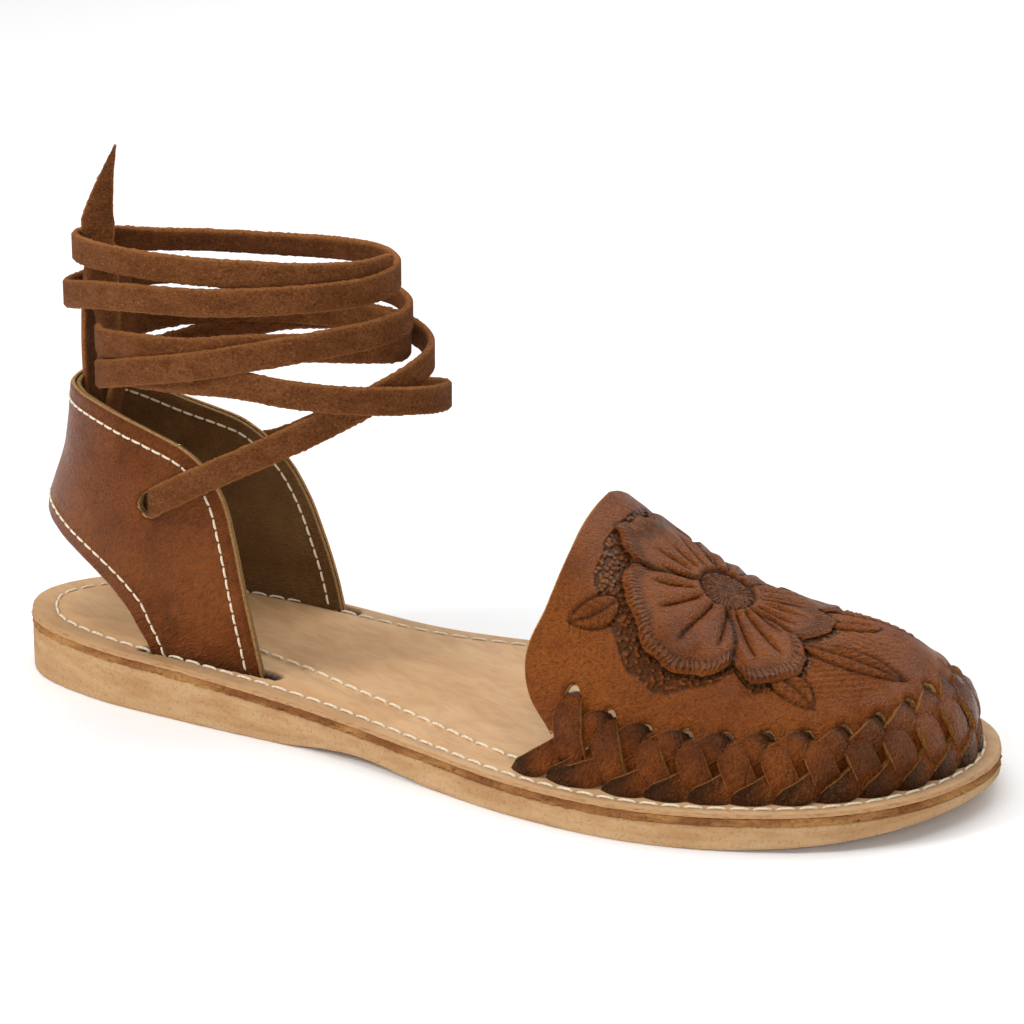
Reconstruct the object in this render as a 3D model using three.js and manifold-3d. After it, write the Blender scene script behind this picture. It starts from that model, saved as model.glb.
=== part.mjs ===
// A huarache sandal for the right foot: a stacked leather and crepe sole, a vamp laced
// to the insole by a woven toe band, an open heel counter, and a lace wound at the ankle.
// Millimetres, +Z up. Lengths along the foot are counted from the back of the heel,
// and y is negative on the lateral (outer) side. The last lines move the origin to the
// middle of the footprint on the ground.
import * as THREE from "three";
import { mergeVertices } from "three/addons/utils/BufferGeometryUtils.js";
import Module from "manifold-3d";

// ---- driving dimensions ----------------------------------------------------------
const SOLE_LENGTH = 256.4;
const GAP = 0.3; // air between pieces that touch
const OUTSOLE = 2.2; // thickness of each layer of the stack
const LEATHER_LAYER = 1.4;
const INSOLE = 1.6;
const TOE_SPRING = 2.5;
const WAIST_LIFT = 2.2; // the arch stands this far off the ground
const HEEL_FLAT = 84; // the heel rests on the ground from the back to here
const BALL_REAR = 146; // the forefoot rests on the ground between these two
const BALL_FRONT = 196;
const VAMP_WALL = 2;
const BRAID_WALL = 3.2;
const BRAID_HEIGHT = 8.5; // from the insole to the lower edge of the vamp
const BRAID_INSET = 8.4; // from the sole's edge to the middle of the braid
const COUNTER_WALL = 2.6;
const LACE_WIDTH = 6.9;
const LACE_WALL = 2;
const LACE_HOLE = 3.4; // radius of the punched hole in each side of the counter
const THROAT = 158; // the vamp starts here

// ---- the sole's plan and heights -------------------------------------------------
// Half widths of the sole at stations along it.
const SOLE_PLAN = [
  { along: 9, lateral: -18.3, medial: 17.8 },
  { along: 30, lateral: -28.2, medial: 28.0 },
  { along: 60, lateral: -32.9, medial: 30.0 },
  { along: 100, lateral: -37.2, medial: 29.3 },
  { along: 130, lateral: -44.6, medial: 34.6 },
  { along: 160, lateral: -52.4, medial: 42.6 },
  { along: 188, lateral: -54.4, medial: 46.2 },
  { along: 214, lateral: -48.8, medial: 44.4 },
  { along: 235, lateral: -37.8, medial: 37.2 },
  { along: 250, lateral: -19.8, medial: 24.2 },
];
const HEEL_POINT = { along: 0, across: -0.2 };
const TOE_POINT = { along: SOLE_LENGTH, across: 4.6 };
// Top of the insole above the ground.
const STACK = [
  { along: 0, height: 15.4 },
  { along: 60, height: 14.0 },
  { along: 110, height: 10.8 },
  { along: 170, height: 8.9 },
  { along: SOLE_LENGTH, height: 10.8 },
];

// A smooth curve through one column of a table.
function column(table, key, value) {
  const n = table.length;
  const at = (i) => table[Math.min(Math.max(i, 0), n - 1)];
  return (x) => {
    let i = 0;
    while (i < n - 2 && x > at(i + 1)[key]) i += 1;
    const a = at(i);
    const b = at(i + 1);
    const span = b[key] - a[key];
    const t = Math.min(Math.max((x - a[key]) / span, 0), 1);
    const before = at(i - 1);
    const after = at(i + 2);
    const slopeA = ((b[value] - before[value]) / (b[key] - before[key])) * span;
    const slopeB = ((after[value] - a[value]) / (after[key] - a[key])) * span;
    const t2 = t * t;
    const t3 = t2 * t;
    return (
      (2 * t3 - 3 * t2 + 1) * a[value] +
      (t3 - 2 * t2 + t) * slopeA +
      (3 * t2 - 2 * t3) * b[value] +
      (t3 - t2) * slopeB
    );
  };
}

const soleTop = column(STACK, "along", "height");

function ground(x) {
  const toe = Math.max((x - BALL_FRONT) / (SOLE_LENGTH - BALL_FRONT), 0);
  const arch = (x - HEEL_FLAT) / (BALL_REAR - HEEL_FLAT);
  const inArch = arch > 0 && arch < 1;
  return TOE_SPRING * toe * toe + (inArch ? WAIST_LIFT * Math.sin(Math.PI * arch) ** 2 : 0);
}

// The sole's edge as one closed curve: heel, lateral side, toe, medial side.
const soleEdge = new THREE.CatmullRomCurve3(
  [
    new THREE.Vector3(HEEL_POINT.along, HEEL_POINT.across, 0),
    ...SOLE_PLAN.map((row) => new THREE.Vector3(row.along, row.lateral, 0)),
    new THREE.Vector3(TOE_POINT.along, TOE_POINT.across, 0),
    ...SOLE_PLAN.map((row) => new THREE.Vector3(row.along, row.medial, 0)).reverse(),
  ],
  true,
  "centripetal",
);

// A point of the edge moved inwards; side is 0 to 1 from heel to toe on the lateral side,
// and 1 to 2 back to the heel on the medial side.
function edgePoint(side, inset = 0) {
  const t = (((side / 2) % 1) + 1) % 1;
  const p = soleEdge.getPoint(t);
  const along = soleEdge.getTangent(t);
  return new THREE.Vector3(p.x - along.y * inset, p.y + along.x * inset, 0);
}

// ---- making solids ---------------------------------------------------------------
const wasm = await Module();
wasm.setup();

function toSolid(geometry) {
  const bare = geometry.clone();
  bare.deleteAttribute("normal");
  bare.deleteAttribute("uv");
  const merged = mergeVertices(bare, 1e-3);
  return new wasm.Manifold(
    new wasm.Mesh({
      numProp: 3,
      vertProperties: new Float32Array(merged.attributes.position.array),
      triVerts: new Uint32Array(merged.index.array),
    }),
  );
}

function toGeometry(solid) {
  const mesh = solid.getMesh();
  const geometry = new THREE.BufferGeometry();
  geometry.setAttribute("position", new THREE.BufferAttribute(mesh.vertProperties, 3));
  geometry.setIndex(new THREE.BufferAttribute(mesh.triVerts, 1));
  geometry.computeVertexNormals();
  return geometry;
}

// A grid of points as an open surface that faces the side where rows x columns turn left.
function surface(grid) {
  const points = grid.flat();
  const columns = grid[0].length;
  const index = [];
  for (let i = 0; i + 1 < grid.length; i += 1)
    for (let j = 0; j + 1 < columns; j += 1) {
      const a = i * columns + j;
      const b = a + columns;
      index.push(a, b, a + 1, b, b + 1, a + 1);
    }
  const geometry = new THREE.BufferGeometry().setFromPoints(points);
  geometry.setIndex(index);
  return mergeVertices(geometry, 1e-3);
}

// Closes two copies of an open surface, one on each side of it, into a solid.
function closed(open, outer, inner) {
  const faces = open.index.array;
  const count = outer.length;
  const index = [];
  const edges = new Map();
  for (let f = 0; f < faces.length; f += 3) {
    const [a, b, c] = [faces[f], faces[f + 1], faces[f + 2]];
    if (a === b || b === c || c === a) continue;
    index.push(a, b, c, a + count, c + count, b + count);
    for (const [from, to] of [[a, b], [b, c], [c, a]]) {
      const back = to + "," + from;
      if (edges.has(back)) edges.delete(back);
      else edges.set(from + "," + to, [from, to]);
    }
  }
  for (const [from, to] of edges.values())
    index.push(from, from + count, to, to, from + count, to + count);
  const geometry = new THREE.BufferGeometry().setFromPoints([...outer, ...inner]);
  geometry.setIndex(index);
  return geometry;
}

// A wall of even thickness around an open surface.
function wall(open, outwards, inwards) {
  open.computeVertexNormals();
  const position = open.attributes.position;
  const normal = open.attributes.normal;
  const moved = (distance) =>
    Array.from({ length: position.count }, (_, i) =>
      new THREE.Vector3()
        .fromBufferAttribute(position, i)
        .addScaledVector(new THREE.Vector3().fromBufferAttribute(normal, i), distance),
    );
  return closed(open, moved(outwards), moved(-inwards));
}

// ---- the sole's layers -----------------------------------------------------------
const LAYER_STEPS = 46;
const END_TRIM = 0.012; // the tip of each end is squared off by this share of a side

// One layer of the stack between two heights that follow the foot's length.
function layer(bottom, top) {
  const grid = [];
  for (let i = 0; i <= LAYER_STEPS; i += 1) {
    const side = END_TRIM + (1 - 2 * END_TRIM) * (i / LAYER_STEPS);
    grid.push([edgePoint(side), edgePoint(2 - side)]);
  }
  const open = surface(grid);
  const points = Array.from({ length: open.attributes.position.count }, (_, i) =>
    new THREE.Vector3().fromBufferAttribute(open.attributes.position, i),
  );
  return closed(
    open,
    points.map((p) => new THREE.Vector3(p.x, p.y, top(p.x))),
    points.map((p) => new THREE.Vector3(p.x, p.y, bottom(p.x))),
  );
}

const outsoleTop = (x) => ground(x) + OUTSOLE;
const leatherTop = (x) => soleTop(x) - INSOLE - GAP;
const leatherBottom = (x) => leatherTop(x) - LEATHER_LAYER;
const insoleBottom = (x) => soleTop(x) - INSOLE;

// ---- the heel counter ------------------------------------------------------------
// The wall that the counter follows: its back and half width at each height.
const HEEL_WALL = [
  { height: 8, back: 8.0, half: 24.6 },
  { height: 25, back: 7.6, half: 26.2 },
  { height: 40, back: 8.2, half: 27.0 },
  { height: 46, back: 9.8, half: 26.9 },
  { height: 52, back: 12.4, half: 26.6 },
  { height: 60, back: 15.6, half: 25.7 },
  { height: 78, back: 18.0, half: 22.6 },
];
const HEEL_ROUND_END = 46; // the wall is straight in front of this
const STRAIGHT_UNIT = 40;
const wallBack = column(HEEL_WALL, "height", "back");
const wallHalf = column(HEEL_WALL, "height", "half");

// A point of the heel wall. Turn goes from 0 at the back to 1 where the wall gets straight,
// and on from there by one for each 40 mm.
function heelPoint(turn, height, side) {
  const angle = (Math.min(turn, 1) * Math.PI) / 2;
  const depth = HEEL_ROUND_END - wallBack(height);
  const x = HEEL_ROUND_END - depth * Math.cos(angle) + Math.max(turn - 1, 0) * STRAIGHT_UNIT;
  return new THREE.Vector3(x, side * wallHalf(height) * Math.sin(angle), height);
}

// The counter's lower and upper edge, from the back of the heel down to the slot in the
// insole. The medial upper edge is cut lower than the lateral one.
const COUNTER = [
  { step: 0, lowTurn: 0.0, low: 43.5, highTurn: 0.0, high: 76.5, medialTurn: 0.0, medial: 76.5 },
  { step: 1, lowTurn: 0.22, low: 42.8, highTurn: 0.36, high: 76.3, medialTurn: 0.36, medial: 72.6 },
  { step: 2, lowTurn: 0.43, low: 41.0, highTurn: 0.7, high: 75.2, medialTurn: 0.7, medial: 65.4 },
  { step: 3, lowTurn: 0.62, low: 37.8, highTurn: 1.04, high: 71.3, medialTurn: 1.0, medial: 60.2 },
  { step: 4, lowTurn: 0.76, low: 33.8, highTurn: 1.35, high: 66.7, medialTurn: 1.2, medial: 55.0 },
  { step: 5, lowTurn: 0.86, low: 29.4, highTurn: 1.56, high: 58.5, medialTurn: 1.34, medial: 49.2 },
  { step: 6, lowTurn: 0.93, low: 24.5, highTurn: 1.665, high: 47, medialTurn: 1.46, medial: 41.2 },
  { step: 7, lowTurn: 0.98, low: 19.2, highTurn: 1.73, high: 33, medialTurn: 1.56, medial: 32.2 },
  { step: 8, lowTurn: 1.02, low: 15.8, highTurn: 1.78, high: 21.5, medialTurn: 1.655, medial: 22.4 },
  { step: 9, lowTurn: 1.04, low: 13.1, highTurn: 1.82, high: 12.1, medialTurn: 1.73, medial: 12.2 },
];
const COUNTER_STEPS = 18; // on each side
const COUNTER_ROWS = 6;

function counterSurface() {
  const keys = Object.keys(COUNTER[0]).filter((key) => key !== "step");
  const at = Object.fromEntries(keys.map((key) => [key, column(COUNTER, "step", key)]));
  const grid = [];
  for (let i = -COUNTER_STEPS; i <= COUNTER_STEPS; i += 1) {
    const step = (Math.abs(i) / COUNTER_STEPS) * (COUNTER.length - 1);
    const side = i < 0 ? 1 : -1;
    const [highTurn, high] = side > 0 ? [at.medialTurn(step), at.medial(step)] : [at.highTurn(step), at.high(step)];
    grid.push(
      Array.from({ length: COUNTER_ROWS + 1 }, (_, j) => {
        const t = j / COUNTER_ROWS;
        const turn = at.lowTurn(step) + (highTurn - at.lowTurn(step)) * t;
        const height = at.low(step) + (high - at.low(step)) * t;
        return heelPoint(turn, height, side);
      }),
    );
  }
  return surface(grid);
}

// A round prism across the heel wall, to punch a hole for the lace.
const LACE_HOLES = [
  { side: -1, turn: 1.09, height: 53.2 },
  { side: 1, turn: 0.66, height: 49.5 },
];

function lacePunch({ side, turn, height }) {
  const ahead = 0.01;
  const centre = heelPoint(turn, height, side);
  const along = heelPoint(turn + ahead, height, side).sub(heelPoint(turn - ahead, height, side));
  const outward = new THREE.Vector3(along.y, -along.x, 0).multiplyScalar(-side).normalize();
  const prism = new THREE.CylinderGeometry(LACE_HOLE, LACE_HOLE, 5 * COUNTER_WALL, 12);
  const turned = new THREE.Quaternion().setFromUnitVectors(new THREE.Vector3(0, 1, 0), outward);
  return prism.applyQuaternion(turned).translate(centre.x, centre.y, centre.z);
}

function heelCounter() {
  let solid = toSolid(wall(counterSurface(), COUNTER_WALL / 2, COUNTER_WALL / 2));
  for (const hole of LACE_HOLES) solid = solid.subtract(toSolid(lacePunch(hole)));
  return toGeometry(solid);
}

// The slot that one leg of the counter goes down through.
const SLOTS = [
  { side: -1, from: 1.0, to: 1.88 },
  { side: 1, from: 1.0, to: 1.78 },
];
const SLOT_HALF = COUNTER_WALL / 2 + 0.45;

function slotCutter({ side, from, to }) {
  const grid = [];
  for (let i = 0; i <= 6; i += 1) {
    const turn = from + ((to - from) * i) / 6;
    const ends = [2, 30].map((height) => heelPoint(turn, height, side));
    grid.push(side < 0 ? ends : ends.reverse());
  }
  return toSolid(wall(surface(grid), SLOT_HALF, SLOT_HALF));
}

function insole() {
  let solid = toSolid(layer(insoleBottom, soleTop));
  for (const slot of SLOTS) solid = solid.subtract(slotCutter(slot));
  return toGeometry(solid);
}

// ---- the toe form: vamp and braid -------------------------------------------------
// Roof of the toe form along its ridge.
const ROOF = [
  { along: 150, height: 67.0 },
  { along: 156, height: 62.4 },
  { along: 162, height: 57.4 },
  { along: 173, height: 51.2 },
  { along: 183, height: 46.0 },
  { along: 194, height: 42.2 },
  { along: 209, height: 38.8 },
  { along: 225, height: 36.2 },
  { along: 236, height: 34.3 },
  { along: 243, height: 32.2 },
  { along: 250, height: 27.5 },
];
// How far the throat's edge lies from the heel, by share of the way up the form.
const THROAT_EDGE = [
  { up: 0, along: 168 },
  { up: 0.1, along: 163.6 },
  { up: 0.18, along: 158 },
  { up: 0.28, along: 156 },
  { up: 0.45, along: 157.4 },
  { up: 0.65, along: 158.5 },
  { up: 0.85, along: 158.3 },
  { up: 1, along: 157 },
];
const RIDGE_REAR = { along: 157, across: 2 };
const RIDGE_FRONT = { along: 224, across: 4.5 };
const SIDE_POWER = 0.95; // under 1 makes the form's section squarer than an ellipse
const RISE_POWER = 0.9;
const THROAT_FADE = 0.3;
const roof = column(ROOF, "along", "height");
const throat = column(THROAT_EDGE, "up", "along");

// Sides of the sole's edge curve where the form starts and ends.
function sideAt(along, from, to) {
  let near = from;
  let far = to;
  for (let i = 0; i < 40; i += 1) {
    const middle = (near + far) / 2;
    if ((edgePoint(middle, BRAID_INSET).x < along) === (from < to)) near = middle;
    else far = middle;
  }
  return (near + far) / 2;
}
const FORM_START = sideAt(THROAT, 0.3, 0.9);
const FORM_END = 2 - sideAt(THROAT, 0.3, 0.9);

// A point of the toe form. Round goes 0 to 1 from the lateral rear about the toe to the
// medial rear, and up goes 0 to 1 from the insole to the ridge.
function formPoint(round, up) {
  const base = edgePoint(FORM_START + (FORM_END - FORM_START) * round, BRAID_INSET);
  const toToe = 1 - (2 * round - 1) ** 2;
  const ridge = {
    x: RIDGE_REAR.along + (RIDGE_FRONT.along - RIDGE_REAR.along) * toToe,
    y: RIDGE_REAR.across + (RIDGE_FRONT.across - RIDGE_REAR.across) * toToe,
  };
  const angle = (up * Math.PI) / 2;
  const inwards = 1 - Math.cos(angle) ** SIDE_POWER;
  const fromThroat = Math.max(1 - (1 - Math.abs(2 * round - 1)) / THROAT_FADE, 0);
  const plain = base.x + (ridge.x - base.x) * inwards;
  const rear = THROAT + (RIDGE_REAR.along - THROAT) * inwards;
  const x = plain + (throat(up) - rear) * fromThroat ** 2;
  const y = base.y + (ridge.y - base.y) * inwards;
  const foot = soleTop(x) + GAP;
  return new THREE.Vector3(x, y, foot + (roof(x) - foot) * Math.sin(angle) ** RISE_POWER);
}

// Share of the way up where the vamp's lower edge crosses the form.
function bandTop(round, height) {
  let low = 0;
  let high = 0.9;
  for (let i = 0; i < 24; i += 1) {
    const middle = (low + high) / 2;
    const p = formPoint(round, middle);
    if (p.z - soleTop(p.x) < height) low = middle;
    else high = middle;
  }
  return low;
}

const FORM_STEPS = 20; // from the throat to the toe
const VAMP_ROWS = 8; // from the lower edge to the ridge

// The vamp is made of arches that run from its lateral edge over the ridge to its medial
// edge; the last arch, at the toe, folds onto itself and closes the surface.
function vamp() {
  const grid = [];
  for (let i = 0; i <= FORM_STEPS; i += 1) {
    const round = i / FORM_STEPS / 2;
    const arch = [];
    for (let j = 0; j <= 2 * VAMP_ROWS; j += 1) {
      const here = j <= VAMP_ROWS ? round : 1 - round;
      const share = j <= VAMP_ROWS ? j / VAMP_ROWS : 2 - j / VAMP_ROWS;
      const edge = bandTop(here, BRAID_HEIGHT + GAP);
      arch.push(formPoint(here, edge + (1 - edge) * share));
    }
    grid.push(arch);
  }
  return wall(surface(grid), 0, VAMP_WALL);
}

const BRAID_STEPS = 44;
const BRAID_ROWS = 3;

function toeBraid() {
  const grid = [];
  for (let i = 0; i <= BRAID_STEPS; i += 1) {
    const round = i / BRAID_STEPS;
    const edge = bandTop(round, BRAID_HEIGHT);
    grid.push(
      Array.from({ length: BRAID_ROWS + 1 }, (_, j) => formPoint(round, (edge * j) / BRAID_ROWS)),
    );
  }
  return wall(surface(grid), BRAID_WALL / 2, BRAID_WALL / 2);
}

// ---- the ankle lace ---------------------------------------------------------------
// The lace lies on rings about the ankle. Angle goes from 0 at the back by the lateral
// side (90), the front (180) and the medial side (270); reach and side lengthen and widen
// the ring there, and height is the middle of the lace.
const ANKLE = { along: 60, across: -2, length: 42, width: 27 };
// From the lateral hole up round the front, and three and a half turns to the top.
const FIRST_STRAND = [
  { angle: 72, height: 52.8, reach: -9, side: 1.7 },
  { angle: 80, height: 55.8, reach: 0, side: 2.2 },
  { angle: 95, height: 62.0, reach: 8, side: 2.4 },
  { angle: 111, height: 69.2, reach: 9, side: 2.2 },
  { angle: 125, height: 75.0, reach: 9.5, side: 2.4 },
  { angle: 138, height: 79.8, reach: 9.5, side: 2.6 },
  { angle: 153, height: 85.6, reach: 9, side: 2.8 },
  { angle: 168, height: 91.2, reach: 8.4, side: 2.8 },
  { angle: 185, height: 95.6, reach: 8, side: 2.5 },
  { angle: 205, height: 98.0, reach: 6, side: 2 },
  { angle: 225, height: 97.8, reach: 4, side: 1.5 },
  { angle: 250, height: 93.8, reach: 2, side: 1 },
  { angle: 275, height: 88.6, reach: 0, side: 0.5 },
  { angle: 300, height: 83.6, reach: -3, side: 0 },
  { angle: 330, height: 80.6, reach: -5.4, side: -1 },
  { angle: 360, height: 80.0, reach: -5.6, side: -1 },
  { angle: 390, height: 81.4, reach: -5, side: -0.5 },
  { angle: 412, height: 84.0, reach: -2, side: 1.2 },
  { angle: 435, height: 87.8, reach: 1.5, side: 2.4 },
  { angle: 458, height: 91.6, reach: 3.5, side: 2.8 },
  { angle: 478, height: 95.2, reach: 4.5, side: 2.8 },
  { angle: 500, height: 98.0, reach: 5, side: 2.6 },
  { angle: 522, height: 99.4, reach: 5, side: 2.2 },
  { angle: 545, height: 100.8, reach: 4.4, side: 1.6 },
  { angle: 575, height: 102.0, reach: 3, side: 0 },
  { angle: 605, height: 101.8, reach: 2, side: -0.6 },
  { angle: 635, height: 101.2, reach: 1.6, side: -0.6 },
  { angle: 665, height: 100.0, reach: 1.8, side: 0 },
  { angle: 700, height: 99.2, reach: 2.6, side: 1 },
  { angle: 720, height: 98.8, reach: 2.6, side: 1.6 },
  { angle: 740, height: 99.6, reach: 2.6, side: 2 },
  { angle: 780, height: 104.8, reach: 2.4, side: 2.6 },
  { angle: 822, height: 107.2, reach: 2.4, side: 2.6 },
  { angle: 850, height: 108.6, reach: 2.6, side: 2.4 },
  { angle: 880, height: 109.6, reach: 2.6, side: 1.6 },
  { angle: 905, height: 110.4, reach: 2.2, side: 1 },
  { angle: 935, height: 110.6, reach: 0.6, side: 0 },
  { angle: 965, height: 108.6, reach: 0, side: 0 },
  { angle: 992, height: 107.5, reach: 0, side: 0 },
  { angle: 1020, height: 107.6, reach: 0, side: 0 },
  { angle: 1050, height: 108.6, reach: 0, side: 0 },
  { angle: 1080, height: 110.6, reach: 0, side: 0 },
  { angle: 1110, height: 113.2, reach: 0, side: 0 },
  { angle: 1140, height: 114.6, reach: 0, side: 0.4 },
  { angle: 1170, height: 115.1, reach: 0, side: 0.6 },
  { angle: 1195, height: 114.9, reach: 0, side: 0.6 },
  { angle: 1215, height: 114.3, reach: 0.4, side: 0.4 },
  { angle: 1240, height: 113.6, reach: 1.0, side: 0.2 },
  { angle: 1262, height: 113.4, reach: 1.2, side: 0 },
];
// From the medial hole forward, round the front the other way, and one and a half turns.
const SECOND_STRAND = [
  { angle: 314, height: 49.0, reach: 0, side: 12.8 },
  { angle: 302, height: 55.8, reach: 0, side: 9.2 },
  { angle: 291, height: 61.6, reach: 0, side: 6.4 },
  { angle: 277, height: 65.6, reach: 2, side: 4.2 },
  { angle: 262, height: 67.6, reach: 8, side: 3.4 },
  { angle: 250, height: 69.2, reach: 11, side: 3.4 },
  { angle: 240, height: 71.4, reach: 12.5, side: 3.6 },
  { angle: 222, height: 75.2, reach: 13.6, side: 3.8 },
  { angle: 204, height: 79.4, reach: 14, side: 4.2 },
  { angle: 188, height: 82.2, reach: 14, side: 4.6 },
  { angle: 172, height: 83.0, reach: 14, side: 4.6 },
  { angle: 155, height: 83.4, reach: 13.4, side: 4.2 },
  { angle: 137, height: 85.0, reach: 12, side: 3.8 },
  { angle: 122, height: 86.2, reach: 11, side: 3 },
  { angle: 108, height: 87.4, reach: 8, side: 1.6 },
  { angle: 90, height: 87.0, reach: 4, side: 0.8 },
  { angle: 70, height: 86.2, reach: -1, side: 0 },
  { angle: 45, height: 86.0, reach: -4.4, side: -1.6 },
  { angle: 20, height: 86.8, reach: -5.6, side: -1.6 },
  { angle: 0, height: 87.8, reach: -5.6, side: -1.4 },
  { angle: -20, height: 88.6, reach: -5.6, side: -1 },
  { angle: -45, height: 89.2, reach: -3, side: -0.6 },
  { angle: -70, height: 90.4, reach: 0, side: -0.6 },
  { angle: -95, height: 91.6, reach: 2, side: -0.6 },
  { angle: -120, height: 92.8, reach: 3, side: -0.4 },
  { angle: -150, height: 93.4, reach: 3.4, side: 0 },
  { angle: -180, height: 93.6, reach: 3.8, side: 0.6 },
  { angle: -205, height: 95.4, reach: 3.6, side: 1 },
  { angle: -225, height: 96.6, reach: 3.2, side: 1 },
  { angle: -247, height: 96.2, reach: 2.4, side: 1 },
  { angle: -266, height: 94.2, reach: 1, side: 1 },
  { angle: -288, height: 93.2, reach: 0, side: 0.8 },
  { angle: -310, height: 91.6, reach: -3, side: 0.4 },
  { angle: -328, height: 90.6, reach: -6, side: 0 },
];

function ringPoint({ angle, height, reach, side }) {
  const turn = (angle * Math.PI) / 180;
  return new THREE.Vector3(
    ANKLE.along - Math.cos(turn) * (ANKLE.length + reach),
    ANKLE.across - Math.sin(turn) * (ANKLE.width + side),
    height,
  );
}

// A flat strap along a smooth curve. Its width stands across both the curve and the way
// that the flat faces.
function strap(points, steps, width, thickness, facing, taper = () => 1) {
  const curve = new THREE.CatmullRomCurve3(points, false, "centripetal");
  const grid = [];
  for (let i = 0; i <= steps; i += 1) {
    const t = i / steps;
    const p = curve.getPoint(t);
    const across = new THREE.Vector3().crossVectors(facing(p, t), curve.getTangent(t));
    across.normalize().multiplyScalar((width / 2) * taper(t));
    grid.push([p.clone().sub(across), p.clone().add(across)]);
  }
  return wall(surface(grid), thickness / 2, thickness / 2);
}

const fromAnkle = (p) => {
  const { along, across, length, width } = ANKLE;
  return new THREE.Vector3((p.x - along) / length ** 2, (p.y - across) / width ** 2, 0);
};

function ankleLace() {
  const first = strap(FIRST_STRAND.map(ringPoint), 108, LACE_WIDTH, LACE_WALL, fromAnkle);
  const second = strap(SECOND_STRAND.map(ringPoint), 68, LACE_WIDTH, LACE_WALL, fromAnkle);
  return toGeometry(toSolid(first).add(toSolid(second)));
}

// The free end of the lace, tucked inside the turns and cut to a point.
const LACE_END = [
  { along: 31.6, across: -11.8, height: 88.0 },
  { along: 31.0, across: -11.6, height: 94.0 },
  { along: 29.6, across: -10.8, height: 101.0 },
  { along: 27.6, across: -9.4, height: 107.0 },
  { along: 25.4, across: -7.2, height: 112.5 },
  { along: 24.6, across: -5.6, height: 118.0 },
  { along: 26.2, across: -4.6, height: 126.5 },
  { along: 28.9, across: -4.2, height: 136.0 },
];
const LACE_END_WIDTH = 8.2;
const TWIST_END = 0.45; // the end turns from the ring's side to face outwards up to here
const POINT_START = 0.55; // the end narrows from here to its tip
const POINT_WIDTH = 0.08;

function laceEnd() {
  const points = LACE_END.map((row) => new THREE.Vector3(row.along, row.across, row.height));
  const tucked = new THREE.Vector3(-0.5, -0.85, 0);
  const open = new THREE.Vector3(0.43, -0.9, 0);
  const facing = (p, t) => tucked.clone().lerp(open, Math.min(t / TWIST_END, 1)).normalize();
  const taper = (t) => 1 - (1 - POINT_WIDTH) * Math.max((t - POINT_START) / (1 - POINT_START), 0);
  return strap(points, 18, LACE_END_WIDTH, LACE_WALL, facing, taper);
}

// The strap folded into a loop at the back of the heel, which holds the lower turns.
const HEEL_LOOP = [
  { along: 23.2, height: 50.0 },
  { along: 24.0, height: 62.0 },
  { along: 26.0, height: 73.0 },
  { along: 27.4, height: 84.0 },
  { along: 26.8, height: 97.0 },
  { along: 25.4, height: 106.0 },
  { along: 23.6, height: 109.2 },
  { along: 21.8, height: 106.0 },
  { along: 21.2, height: 97.0 },
  { along: 21.1, height: 84.0 },
  { along: 21.2, height: 73.0 },
  { along: 21.2, height: 62.0 },
  { along: 20.8, height: 50.0 },
];

function heelLoop() {
  const points = HEEL_LOOP.map((row) => new THREE.Vector3(row.along, ANKLE.across + 1.5, row.height));
  const curve = new THREE.CatmullRomCurve3(points, false, "centripetal");
  const facing = (p, t) => {
    const tangent = curve.getTangent(t);
    return new THREE.Vector3(tangent.z, 0, -tangent.x);
  };
  return strap(points, 34, LACE_WIDTH, LACE_WALL - 0.2, facing);
}

// ---- the assembly -----------------------------------------------------------------
const CREPE = { color: 0xb8946a, roughness: 0.85, metalness: 0 };
const RUBBER = { color: 0xc4a47c, roughness: 0.85, metalness: 0 };
const SPLIT_LEATHER = { color: 0x5c3419, roughness: 0.95, metalness: 0 };
const PALE_LEATHER = { color: 0xc99a63, roughness: 0.6, metalness: 0 };
const BROWN_LEATHER = { color: 0x7e3f1d, roughness: 0.55, metalness: 0 };
const DARK_LEATHER = { color: 0x5e2d14, roughness: 0.45, metalness: 0 };
const SUEDE = { color: 0x6b3a1c, roughness: 0.95, metalness: 0 };

const PIECES = [
  { name: "outsole", geometry: layer(ground, outsoleTop), finish: RUBBER },
  {
    name: "midsole",
    geometry: layer((x) => outsoleTop(x) + GAP, (x) => leatherBottom(x) - GAP),
    finish: CREPE,
  },
  { name: "leather_layer", geometry: layer(leatherBottom, leatherTop), finish: SPLIT_LEATHER },
  { name: "insole", geometry: insole(), finish: PALE_LEATHER },
  { name: "vamp", geometry: vamp(), finish: BROWN_LEATHER },
  { name: "toe_braid", geometry: toeBraid(), finish: DARK_LEATHER },
  { name: "heel_counter", geometry: heelCounter(), finish: BROWN_LEATHER },
  { name: "heel_loop", geometry: heelLoop(), finish: SUEDE },
  { name: "ankle_lace", geometry: ankleLace(), finish: SUEDE },
  { name: "lace_end", geometry: laceEnd(), finish: SUEDE },
];

const sandal = new THREE.Group();
for (const { name, geometry, finish } of PIECES) {
  geometry.computeVertexNormals();
  const mesh = new THREE.Mesh(geometry, new THREE.MeshStandardMaterial(finish));
  mesh.name = name;
  sandal.add(mesh);
}
const footprint = new THREE.Box3().setFromObject(sandal);
const middle = footprint.getCenter(new THREE.Vector3());
sandal.position.set(-middle.x, -middle.y, 0);

export default sandal;
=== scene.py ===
"""A huarache sandal for the right foot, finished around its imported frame.

The shapes are worked out in millimetres along the foot: x from the back of the heel, y to the
medial side, z up from the ground. to_frame() then puts them in the row's frame, in metres.
"""

import math

import bpy
import numpy as np
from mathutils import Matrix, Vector, noise


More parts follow.
